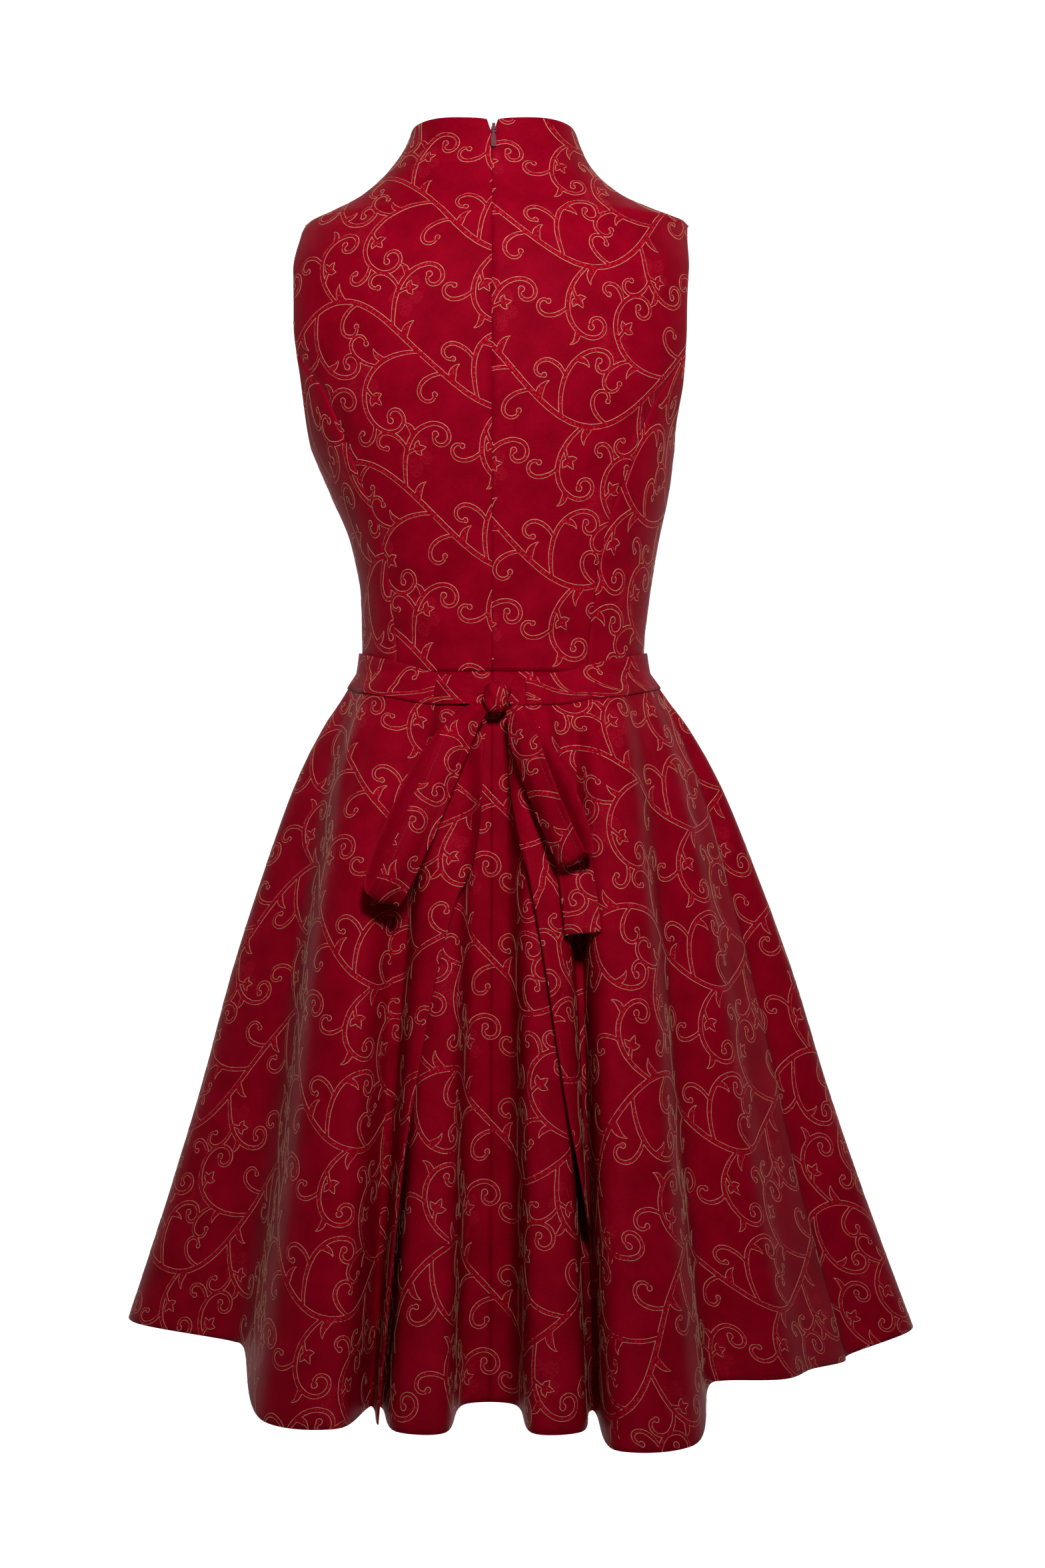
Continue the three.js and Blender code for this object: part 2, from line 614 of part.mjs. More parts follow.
addSkirtPanel('skirt_back_right', 0, RIGHT_SIDE);
addSkirtPanel('skirt_front', RIGHT_SIDE, LEFT_SIDE);
addSkirtPanel('skirt_back_left', LEFT_SIDE, foldCount);

// ---------------------------------------------------------------------------------------------
// Apron
// ---------------------------------------------------------------------------------------------

const bandTop = through(BAND, 'angle', 'top');
const bandBottom = through(BAND, 'angle', 'bottom');
const slitLeft = through(SLIT, 'z', 'left');
const slitRight = through(SLIT, 'z', 'right');
const APRON_RISES = SKIRT_RISES.slice(0, -2);
const APRON_TOP = 0.945; // the rise of the band's lower edge at the back
const RIGHT_CORNER = 0.5; // fold numbers just inside the apron's two top corners
const LEFT_CORNER = 23.5;
const EDGE_STEP = 0.03; // the least width of a column, in folds

/** An angle round the waist measured the short way from centre back. */
function fromCentreBack(fold) {
  const angle = waistAngle(wrapped(fold));
  return angle > 180 ? 360 - angle : angle;
}

/** The apron's right back edge at a rise: the fold number where the slit's line crosses. */
function rightEdge(rise) {
  const z = lerp(BACK_HEM_Z, WAIST_Z, rise);
  return foldAt(slitRight(z), z, -0.5, 3);
}

/** The apron's left back edge at a rise. */
function leftEdge(rise) {
  const z = lerp(BACK_HEM_Z, WAIST_Z, rise);
  return foldAt(slitLeft(z), z, foldCount - 2.5, foldCount + 0.5);
}

/** How far the apron's inner face lies out from the dress. */
function apronNear(fold, rise) {
  const inside = Math.max(Math.min(fold - rightEdge(rise), leftEdge(rise) - fold), 0);
  const free = smoothstep(1 - rise, SLIT_LIFT.from, SLIT_LIFT.to);
  const lift = SLIT_LIFT.height * free * Math.exp(-inside / SLIT_LIFT.reach);
  const { waist, skirt: below, from, to } = APRON_CLEARANCE;
  return lerp(waist, below, smoothstep(1 - rise, from, to)) + lift;
}

/** The apron's rows on a list of columns that may move with the height, up to the band. */
function apronGrid(columnsAt) {
  const top = (fold) => riseAt(fold, bandBottom(fromCentreBack(fold)) - SEAM_GAP);
  const rows = APRON_RISES.map((rise) => columnsAt(rise).map((fold) => [fold, rise]));
  return [...rows, columnsAt(APRON_TOP).map((fold) => [fold, top(fold)])];
}

/** Columns that keep to the skirt's own, and close up where the free edge has swept past them. */
function columnsFrom(edge, first, to) {
  const way = Math.sign(to - first);
  return spaced(first, to, Math.abs(to - first) * FOLD_COLUMNS).map((fold, column) => {
    const pushed = edge + way * column * EDGE_STEP;
    return way > 0 ? Math.max(fold, pushed) : Math.min(fold, pushed);
  });
}

/** Adds one gore of the apron. */
function addApronPanel(name, columnsAt) {
  const grid = apronGrid(columnsAt).map((row) => insetRow(skirt, row));
  const wall = {
    near: apronNear,
    far: (fold, rise) => apronNear(fold, rise) + APRON_WALL,
    steps: SKIRT_STEPS,
    levelRows: [0, grid.length - 1],
  };
  addPiece(name, wallOn(skirt, grid, wall));
}

addApronPanel('apron_right', (rise) => columnsFrom(rightEdge(rise), RIGHT_CORNER, RIGHT_SIDE));
addApronPanel('apron_front', () => spaced(RIGHT_SIDE, LEFT_SIDE, (LEFT_SIDE - RIGHT_SIDE) * FOLD_COLUMNS));
addApronPanel('apron_left', (rise) => columnsFrom(leftEdge(rise), LEFT_CORNER, LEFT_SIDE).reverse());

/** Rows of the band between two fold numbers, or of a tie, from its lower edge up. */
function bandGrid(from, to, { columns, rows }) {
  return spaced(0, 1, rows).map((up) =>
    spaced(from, to, columns).map((fold) => {
      const angle = fromCentreBack(fold);
      return [fold, lerp(bandBottom(angle), bandTop(angle), up)];
    }),
  );
}

const DRESS_STEPS = [0.02, 1];
const BAND_CELLS = { columns: 66, rows: 3 };
const TIE_CELLS = { columns: 5, rows: 2 };
const bandRight = foldOfAngle(BAND_END.right);
const bandLeft = foldOfAngle(360 - BAND_END.left);

/** How far the band's inner face lies out from the dress: more below, over the skirt's seam. */
function bandNear(fold, z) {
  const { bodice, skirt: below, fade } = BAND_CLEARANCE;
  return lerp(below, bodice, smoothstep(z, WAIST_Z - fade, WAIST_Z));
}

addPiece(
  'apron_waistband',
  wallOn(dress, bandGrid(bandRight, bandLeft, BAND_CELLS).map((row) => insetRow(dress, row)), {
    near: bandNear,
    far: (fold, z) => bandNear(fold, z) + BAND_WALL,
    steps: DRESS_STEPS,
  }),
);

/** Adds a tie on the dress, from the band's end to the knot, between two distances from the zip. */
function addTie(name, fromX, toX, knotIsAtEnd) {
  const knotShare = (fold, z) => {
    const share = clamp((dress(fold, z).x - fromX) / (toX - fromX), 0, 1);
    return smoothstep(knotIsAtEnd ? share : 1 - share, 0, 1);
  };
  const near = (fold, z) => bandNear(fold, z) + TIE.rise * knotShare(fold, z);
  const grid = bandGrid(foldAt(fromX, WAIST_Z), foldAt(toX, WAIST_Z), TIE_CELLS);
  const far = (fold, z) => near(fold, z) + BAND_WALL;
  addPiece(name, wallOn(dress, grid, { near, far, steps: DRESS_STEPS }));
}

addTie('apron_tie_left', dress(bandLeft, WAIST_Z).x + SEAM_GAP, TIE.leftEnd, true);
addTie('apron_tie_right', TIE.rightEnd, dress(bandRight, WAIST_Z).x - SEAM_GAP, false);

// ---------------------------------------------------------------------------------------------
// Bow
// ---------------------------------------------------------------------------------------------

const RIBBON_ROWS = 2; // between two stations of a strip

/** A strip of cloth along its stations. */
function ribbon(stations) {
  const last = stations.length - 1;
  const path = new THREE.CatmullRomCurve3(
    stations.map(({ x, y, z }) => new THREE.Vector3(x, y, z)),
    false,
    'centripetal',
  );
  const between = (share, column) => {
    const place = share * last;
    const first = Math.min(Math.floor(place), last - 1);
    return lerp(stations[first][column], stations[first + 1][column], place - first);
  };
  const sides = [1, -1].map((side) =>
    spaced(0, 1, last * RIBBON_ROWS).map((share) => {
      const along = path.getTangent(share);
      const lean = degToRad(between(share, 'lean'));
      const across = new THREE.Vector3(Math.cos(lean), -between(share, 'tilt'), Math.sin(lean));
      across.addScaledVector(along, -across.dot(along)).normalize();
      const out = along.clone().cross(across);
      const middle = path.getPoint(share).addScaledVector(out, (side * RIBBON_WALL) / 2);
      const half = between(share, 'width') / 2;
      return [-half, 0, half].map((offset) => middle.clone().addScaledVector(across, offset));
    }),
  );
  return wallBetween(sides[0], sides[1]);
}

/** The knot: a rounded block. */
function knotBlock() {
  const geometry = new THREE.SphereGeometry(1, 16, 10);
  const places = geometry.attributes.position;
  const half = new THREE.Vector3(KNOT.width, KNOT.depth, KNOT.height).multiplyScalar(0.5);
  for (let i = 0; i < places.count; i += 1) {
    const point = new THREE.Vector3().fromBufferAttribute(places, i);
    const size = point.toArray().reduce((sum, value) => sum + Math.abs(value) ** KNOT.power, 0);
    point.multiplyScalar(size ** (-1 / KNOT.power)).multiply(half);
    places.setXYZ(i, point.x, point.y, point.z);
  }
  geometry.computeVertexNormals();
  return geometry;
}

addPiece('bow_knot', knotBlock()).position.set(KNOT.x, KNOT.y, KNOT.z);
addPiece('bow_loop_left', ribbon(LEFT_LOOP));
addPiece('bow_loop_right', ribbon(RIGHT_LOOP));
addPiece('bow_tail_left', ribbon(LEFT_TAIL));
addPiece('bow_tail_right', ribbon(RIGHT_TAIL));

// ---------------------------------------------------------------------------------------------
// Zip
// ---------------------------------------------------------------------------------------------

const ZIP_CELLS = { columns: 4, skirt: 5, bodice: 12, collar: 7 };
const ZIP_HEIGHTS = [
  ...spaced(ZIP.bottom, WAIST_Z, ZIP_CELLS.skirt),
  ...spaced(WAIST_Z, ZIP.neck, ZIP_CELLS.bodice).slice(1),
  ...spaced(ZIP.neck, ZIP.top, ZIP_CELLS.collar).slice(1),
];

/** The zip's tape, behind the cloth of the bodice and the top of the skirt. */
function zipTape() {
  const grid = ZIP_HEIGHTS.map((z) =>
    spaced(-ZIP.halfWidth, ZIP.halfWidth, ZIP_CELLS.columns).map((x) => [foldAt(x, z), z]),
  );
  const far = -(DRESS_WALL + ZIP.behind);
  return wallOn(dress, grid, { near: far - ZIP.tapeWall, far, steps: DRESS_STEPS });
}

/** A geometry as a solid that can be joined to others. */
function solidOf(geometry) {
  const bare = geometry.clone();
  bare.deleteAttribute('normal');
  bare.deleteAttribute('uv');
  const merged = mergeVertices(bare);
  return new wasm.Manifold(
    new wasm.Mesh({
      numProp: 3,
      vertProperties: new Float32Array(merged.attributes.position.array),
      triVerts: new Uint32Array(merged.index.array),
    }),
  );
}

/** A solid as a geometry again. */
function geometryOf(solid) {
  const { vertProperties, triVerts } = solid.getMesh();
  const geometry = new THREE.BufferGeometry();
  geometry.setAttribute('position', new THREE.BufferAttribute(new Float32Array(vertProperties), 3));
  geometry.setIndex(Array.from(triVerts));
  geometry.computeVertexNormals();
  return geometry;
}

/** A block between two corners. */
function block(low, high) {
  const size = high.map((value, i) => value - low[i]);
  const middle = high.map((value, i) => (value + low[i]) / 2);
  return new THREE.BoxGeometry(...size).translate(...middle);
}

/** The slider: a plate on the cloth, a post above it and two ears that hold the tab. */
function slider() {
  const { plate, post, ear, seat, hingeOut } = SLIDER;
  const face = -(seat + plate.wall);
  const join = 0.2; // how far each piece runs into the plate
  const halfGap = ear.gap / 2;
  const parts = [
    block([-plate.width / 2, face, -plate.below], [plate.width / 2, -seat, plate.above]),
    block([-post.width / 2, face, plate.above - join], [post.width / 2, -seat, post.top]),
    ...[-1, 1].map((side) => {
      const reach = [side * halfGap, side * (halfGap + ear.width)].sort((a, b) => a - b);
      return block([reach[0], face - ear.reach, -ear.half], [reach[1], face + join, ear.half]);
    }),
  ];
  const joined = parts.map(solidOf).reduce((whole, part) => whole.add(part));
  return geometryOf(joined).translate(0, hingeOut, 0);
}

/** The pull tab: a drop-shaped plate that hangs from the hinge. */
function pullTab() {
  const { length, neck, widest, widestAt, flareAt, wall } = TAB;
  const outline = new THREE.Shape();
  outline.moveTo(neck / 2, 0);
  outline.absarc(0, 0, neck / 2, 0, Math.PI, false);
  outline.lineTo(-neck / 2, -SLIDER.plate.below);
  outline.quadraticCurveTo(-widest / 2, -flareAt, -widest / 2, -widestAt);
  outline.absellipse(0, -widestAt, widest / 2, length - widestAt, Math.PI, 2 * Math.PI, false);
  outline.quadraticCurveTo(widest / 2, -flareAt, neck / 2, -SLIDER.plate.below);
  outline.closePath();
  const plate = new THREE.ExtrudeGeometry(outline, { depth: wall, bevelEnabled: false, curveSegments: 8 });
  return plate.translate(0, 0, -wall / 2).rotateX(Math.PI / 2);
}

addPiece('zip_tape', zipTape(), materials.zipTape);

const SLOPE_SPAN = 5; // above and below the hinge
const collarRun = section.back(SLIDER.z - SLOPE_SPAN) - section.back(SLIDER.z + SLOPE_SPAN);
const collarSlope = Math.atan2(collarRun, 2 * SLOPE_SPAN);
const hinge = new THREE.Group();
hinge.position.set(SLIDER.x, -section.back(SLIDER.z) - SLIDER.hingeOut * Math.cos(collarSlope), SLIDER.z);
hinge.rotation.x = -collarSlope;
dirndl.add(hinge);
hinge.add(addPiece('zip_slider', slider(), materials.zipMetal));
hinge.add(addPiece('zip_pull_tab', pullTab(), materials.zipMetal));

export default dirndl;
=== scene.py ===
"""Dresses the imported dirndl: its woven cloth, wrap apron, bow and zip, the studio and the camera.

Lengths are worked out in millimetres in the frame's own axes (+X the wearer's right, +Y the
wearer's front, +Z up), and they become metres where a mesh is made.
"""

import logging
import math
from dataclasses import dataclass, field
from enum import Enum
from typing import Callable, Iterable, Sequence

import bmesh
import bpy
import numpy as np
from mathutils import Matrix, Vector


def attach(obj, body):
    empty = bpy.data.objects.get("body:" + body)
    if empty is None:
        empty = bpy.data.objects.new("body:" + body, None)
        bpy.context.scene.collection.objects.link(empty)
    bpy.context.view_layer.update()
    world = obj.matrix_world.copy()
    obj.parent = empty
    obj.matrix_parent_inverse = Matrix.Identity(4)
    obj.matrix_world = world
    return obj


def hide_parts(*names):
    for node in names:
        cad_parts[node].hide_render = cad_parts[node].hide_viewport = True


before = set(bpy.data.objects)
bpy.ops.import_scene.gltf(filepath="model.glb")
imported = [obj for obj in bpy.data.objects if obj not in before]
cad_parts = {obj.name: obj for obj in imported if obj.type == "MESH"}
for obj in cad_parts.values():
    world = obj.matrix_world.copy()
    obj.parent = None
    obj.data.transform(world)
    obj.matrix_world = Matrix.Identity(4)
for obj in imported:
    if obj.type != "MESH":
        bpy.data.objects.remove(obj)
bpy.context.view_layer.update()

LOG = logging.getLogger("dirndl")
MM = 0.001
TINY = 1e-9
Array = np.ndarray
Piece = bpy.types.Object
Face = Callable[[Array, Array], Array]
Line = Callable[[Array], Array]


# ---- Curves ----


class Curve:
    """A smooth curve through a table's rows, which never overshoots them."""

    def __init__(self, rows: Sequence[Sequence[float]], column: int = 1) -> None:
        """Keeps the first column as the place and another as the value.

        Args:
            rows: The table.
            column: Which column holds the values.
        """
        table = np.array(sorted(row[:1] + row[column : column + 1] for row in map(tuple, rows)))
        self.places, self.values = table[:, 0], table[:, 1]
        rise = np.diff(self.values) / np.diff(self.places)
        product = rise[:-1] * rise[1:]
        total = np.where(product > 0, rise[:-1] + rise[1:], 1.0)
        self.slopes = np.r_[rise[0], np.where(product > 0, 2 * product / total, 0.0), rise[-1]]

    def __call__(self, place: Array | float) -> Array:
        """Reads the curve.

        Args:
            place: Where to read it.

        Returns:
            The values there.
        """
        x = np.clip(place, self.places[0], self.places[-1])
        i = np.clip(np.searchsorted(self.places, x, side="right") - 1, 0, len(self.places) - 2)
        step = self.places[i + 1] - self.places[i]
        t = (x - self.places[i]) / step
        settle = self.values[i] + (self.values[i + 1] - self.values[i]) * t * t * (3 - 2 * t)
        leave = t * (1 - t) ** 2 * step * self.slopes[i]
        return settle + leave + t * t * (t - 1) * step * self.slopes[i + 1]


class Spline:
    """A centripetal Catmull-Rom curve through points in space."""

    def __init__(self, points: Array, closed: bool) -> None:
        """Keeps the points, with the ones before the first and after the last.

        Args:
            points: The points in order.
            closed: Whether the curve runs back to its start.
        """
        self.spans = len(points) if closed else len(points) - 1
        if closed:
            self.points = np.r_[points[-1:], points, points[:2]]
        else:
            self.points = np.r_[2 * points[:1] - points[1:2], points, 2 * points[-1:] - points[-2:-1]]

    def __call__(self, share: Array) -> Array:
        """Points on the curve.

        Args:
            share: How far along, from 0 to 1, counted in spans.

        Returns:
            One point for each share.
        """
        place = np.asarray(share, float) * self.spans
        first = np.clip(np.floor(place).astype(int), 0, self.spans - 1)
        t = (place - first)[..., None]
        p0, p1, p2, p3 = (self.points[first + i] for i in range(4))
        pairs = ((p0, p1), (p1, p2), (p2, p3))
        d0, d1, d2 = (np.sqrt(np.linalg.norm(b - a, axis=-1, keepdims=True)) for a, b in pairs)
        m1 = d1 * ((p1 - p0) / d0 - (p2 - p0) / (d0 + d1) + (p2 - p1) / d1)
        m2 = d1 * ((p2 - p1) / d1 - (p3 - p1) / (d1 + d2) + (p3 - p2) / d2)
        cube = 2 * p1 - 2 * p2 + m1 + m2
        square = -3 * p1 + 3 * p2 - 2 * m1 - m2
        return ((cube * t + square) * t + m1) * t + p1


def mix(a: Array | float, b: Array | float, share: Array | float) -> Array:
    """A value between two others."""
    return a + (b - a) * share


def soft_step(value: Array, low: float, high: float) -> Array:
    """A smooth rise from 0 at one value to 1 at another."""
    t = np.clip((value - low) / (high - low), 0, 1)
    return t * t * (3 - 2 * t)


def unit(way: Array) -> Array:
    """Vectors brought to a length of 1."""
    return way / np.maximum(np.linalg.norm(way, axis=-1, keepdims=True), TINY)


def left_of(along: Array) -> Array:
    """The unit vectors to the left of flat ones."""
    way = unit(along)
    return np.c_[-way[:, 1], way[:, 0]]


def run_along(points: Array) -> Array:
    """How far along its row, or its line, each point lies."""
    steps = np.linalg.norm(np.diff(points, axis=-2), axis=-1)
    return np.concatenate([np.zeros((*steps.shape[:-1], 1)), np.cumsum(steps, axis=-1)], axis=-1)


def outward(face: Face, a: Array, b: Array, steps: tuple[float, float]) -> Array:
    """The way out of a face.

    Args:
        face: The face, with its first place running towards +X at the back, and its second up.
        a: First places.
        b: Second places.
        steps: How far to look along each.

    Returns:
        One unit vector for each place.
    """
    around = face(a + steps[0], b) - face(a - steps[0], b)
    up = face(a, b + steps[1]) - face(a, b - steps[1])
    return unit(np.cross(around, up))


# ---- The dress's form ----

SEAM_GAP = 0.3
WAIST_Z = -372.0
SIDE_SEAM = 90.0
HALVINGS = 26
FOLD_STEPS = (0.02, 1.0)


@dataclass(frozen=True)
class DressForm:
    """The dress's outer face: the bodice by angle and height, the skirt by fold and rise."""

    # height, half widths left and right of the zip, depths back and front, and roundness
    sections: tuple = (
        (90, 66, 64, 57, 50, 2), (69, 69, 70, 61, 54, 2), (53, 78, 76.5, 66, 57, 1.95),
        (36, 92, 89, 73, 62, 1.9), (20, 112, 111, 81, 67, 1.75), (8, 137, 141, 88, 72, 1.6),
        (0, 153, 160, 93, 77, 1.6), (-12, 161, 163, 98, 84, 1.75), (-46, 171, 168, 107, 98, 2.2),
        (-90, 172, 168, 112, 112, 2.4), (-134, 164, 163, 112, 121, 2.45),
        (-178, 153, 151, 109, 123, 2.4), (-222, 135, 145, 103, 115, 2.3),
        (-266, 117, 136, 97, 103, 2.2), (-310, 109, 129, 91, 94, 2.15),
        (-354, 108, 124.5, 88, 90, 2.1), (-376, 110.5, 127.5, 88, 91, 2.1),
    )
    # each crest and valley of the hem: its middle, its width, and its angle at the waist
    folds: tuple = (
        (-1, -202, -932, 34, 0), (50, -288, -936, 33, 14), (80, -216, -934, 8, 24),
        (121, -312, -942, 48, 43), (170, -184, -919, 18, 60), (236, -138, -922, 44, 73),
        (280, -64, -924, 28, 82), (338, 12, -912, 40, 90), (246, 99, -915, 24, 106),
        (264, 206, -920, 42, 122), (154, 197, -917, 22, 136), (139, 286, -922, 42, 151),
        (54, 234, -918, 22, 165), (0, 305, -922, 42, 180), (-54, 232, -918, 22, 195),
        (-137, 269, -920, 42, 209), (-151, 180, -915, 22, 224), (-242, 170, -914, 42, 238),
        (-225, 77, -908, 24, 254), (-290, -6, -901, 44, 270), (-197, -106, -904, 22, 288),
        (-140, -266, -935, 52, 302), (-89, -205, -933, 10, 334), (-51, -287, -936, 33, 347),
    )
    # how far the skirt has spread at a share of its drop
    flare: tuple = (
        (0, 0), (0.042, 0.072), (0.084, 0.148), (0.168, 0.258), (0.293, 0.387), (0.46, 0.54),
        (0.63, 0.67), (0.8, 0.815), (1, 1),
    )
    right_side: int = 7
    left_side: int = 19

    def __post_init__(self) -> None:
        """Makes the curves through the tables."""
        make = object.__setattr__
        columns = ("left", "right", "back", "front", "power")
        make(self, "section", {name: Curve(self.sections, i + 1) for i, name in enumerate(columns)})
        table = np.array(self.folds, float)
        around = np.c_[-table[:, 1], table[:, 0], np.zeros(len(table))]
        around *= table[:, 3:4] / np.linalg.norm(around, axis=1, keepdims=True)
        ends = np.stack([table[:, :3] - around / 2, table[:, :3] + around / 2], axis=1)
        make(self, "hem_line", Spline(ends.reshape(-1, 3), closed=True))
        waist = [(i, row[4]) for i, row in enumerate(self.folds)] + [(len(self.folds), 360)]
        make(self, "waist_angle", Curve(waist))
        make(self, "spread", Curve(self.flare))

    @property
    def count(self) -> int:
        """How many crests and valleys the hem has."""
        return len(self.folds)

    def bodice(self, angle: Array, z: Array) -> Array:
        """The bodice's outer face.

        Args:
            angle: Degrees from centre back, positive towards +X.
            z: Heights.

        Returns:
            One point for each place.
        """
        angle, z = np.broadcast_arrays(np.asarray(angle, float), np.asarray(z, float))
        turn = np.radians(angle)
        power = 2 / self.section["power"](z)
        across = np.sign(np.sin(turn)) * np.abs(np.sin(turn)) ** power
        along = np.sign(np.cos(turn)) * np.abs(np.cos(turn)) ** power
        half = np.where(across < 0, self.section["left"](z), self.section["right"](z))
        depth = np.where(along > 0, self.section["back"](z), self.section["front"](z))
        return np.stack([half * across, -depth * along, z], axis=-1)

    def fold_of_angle(self, angle: float) -> float:
        """The fold number at an angle round the waist."""
        return float(_inverse(self.waist_angle, angle, 0, self.count))

    def hem(self, fold: Array) -> Array:
        """The hem's point below each fold number, between the fold's two points on the hem's line."""
        return self.hem_line(np.mod(np.asarray(fold, float) + 0.25, self.count) / self.count)

    def skirt(self, fold: Array, rise: Array) -> Array:
        """The skirt's outer face.

        Args:
            fold: Fold numbers.
            rise: From 0 at the hem to 1 at the waist.

        Returns:
            One point for each place.
        """
        fold, rise = np.broadcast_arrays(np.asarray(fold, float), np.asarray(rise, float))
        top = self.bodice(self.waist_angle(np.mod(fold, self.count)), np.full(fold.shape, WAIST_Z))
        bottom = self.hem(fold)
        out = self.spread(1 - rise)[..., None]
        flat = mix(top[..., :2], bottom[..., :2], out)
        return np.concatenate([flat, mix(bottom[..., 2], WAIST_Z, rise)[..., None]], axis=-1)

    def rise_at(self, fold: Array, z: Array) -> Array:
        """How far up from the hem a height lies on a fold."""
        bottom = self.hem(fold)[..., 2]
        return (z - bottom) / (WAIST_Z - bottom)

    def dress(self, fold: Array, z: Array) -> Array:
        """The outer face, on the bodice or on the skirt.

        Args:
            fold: Fold numbers.
            z: Heights.

        Returns:
            One point for each place.
        """
        fold, z = np.broadcast_arrays(np.asarray(fold, float), np.asarray(z, float))
        above = self.bodice(self.waist_angle(np.mod(fold, self.count)), z)
        return np.where((z > WAIST_Z)[..., None], above, self.skirt(fold, self.rise_at(fold, z)))

    def fold_at(self, x: Array, z: Array, low: float = -2.5, high: float = 2.5) -> Array:
        """The fold number, within a range, whose line crosses a distance from the zip at a height."""
        x, z = np.broadcast_arrays(np.asarray(x, float), np.asarray(z, float))
        return _inverse(lambda fold: self.dress(fold, z)[..., 0], x, low, high)


def _inverse(rising: Callable[[Array], Array], value: Array, low: float, high: float) -> Array:
    """Where a rising function takes a value.

    Args:
        rising: The function.
        value: The values it should take.
        low: The least place.
        high: The greatest place.

    Returns:
        One place for each value.
    """
    start = np.full(np.shape(value), float(low))
    end = np.full(np.shape(value), float(high))
    for _ in range(HALVINGS):
        middle = (start + end) / 2
        below = rising(middle) < value
        start = np.where(below, middle, start)
        end = np.where(below, end, middle)
    return (start + end) / 2


FORM = DressForm()


# ---- Cloth ----


def normals_of(points: Array) -> Array:
    """The way out of a grid of points whose rows run up and whose columns run towards +X."""
    return unit(np.cross(np.gradient(points, axis=1), np.gradient(points, axis=0)))


@dataclass(frozen=True)
class Crease:
    """A soft trough or ridge in cloth, seen from the back, or from the front where it says so."""

    start: tuple[float, float]
    end: tuple[float, float]
    width: float
    height: float
    at_front: bool = False
    faded: tuple[float, float, float] = (0.12, 0.86, 0.8)

    @classmethod
    def table(cls, *rows: tuple) -> "tuple[Crease, ...]":
        """Creases from rows of start, end, width and height, and True for one at the front."""
        return tuple(cls(row[:2], row[2:4], *row[4:]) for row in rows)

    def lift(self, points: Array) -> Array:
        """How far the crease moves each point outwards.

        Args:
            points: Points on the cloth.

        Returns:
            One distance for each point.
        """
        flat = points[..., [0, 2]]
        start, end = np.array(self.start), np.array(self.end)
        along = end - start
        share = np.clip(((flat - start) @ along) / (along @ along), 0, 1)
        gap = np.linalg.norm(flat - (start + share[..., None] * along), axis=-1)
        root, run, softness = self.faded
        fade = np.sin(np.pi * np.clip(share * run + root, 0, 1)) ** softness
        shows = (points[..., 1] > 0) == self.at_front
        return np.where(shows, self.height * fade * np.exp(-((gap / self.width) ** 2)), 0.0)


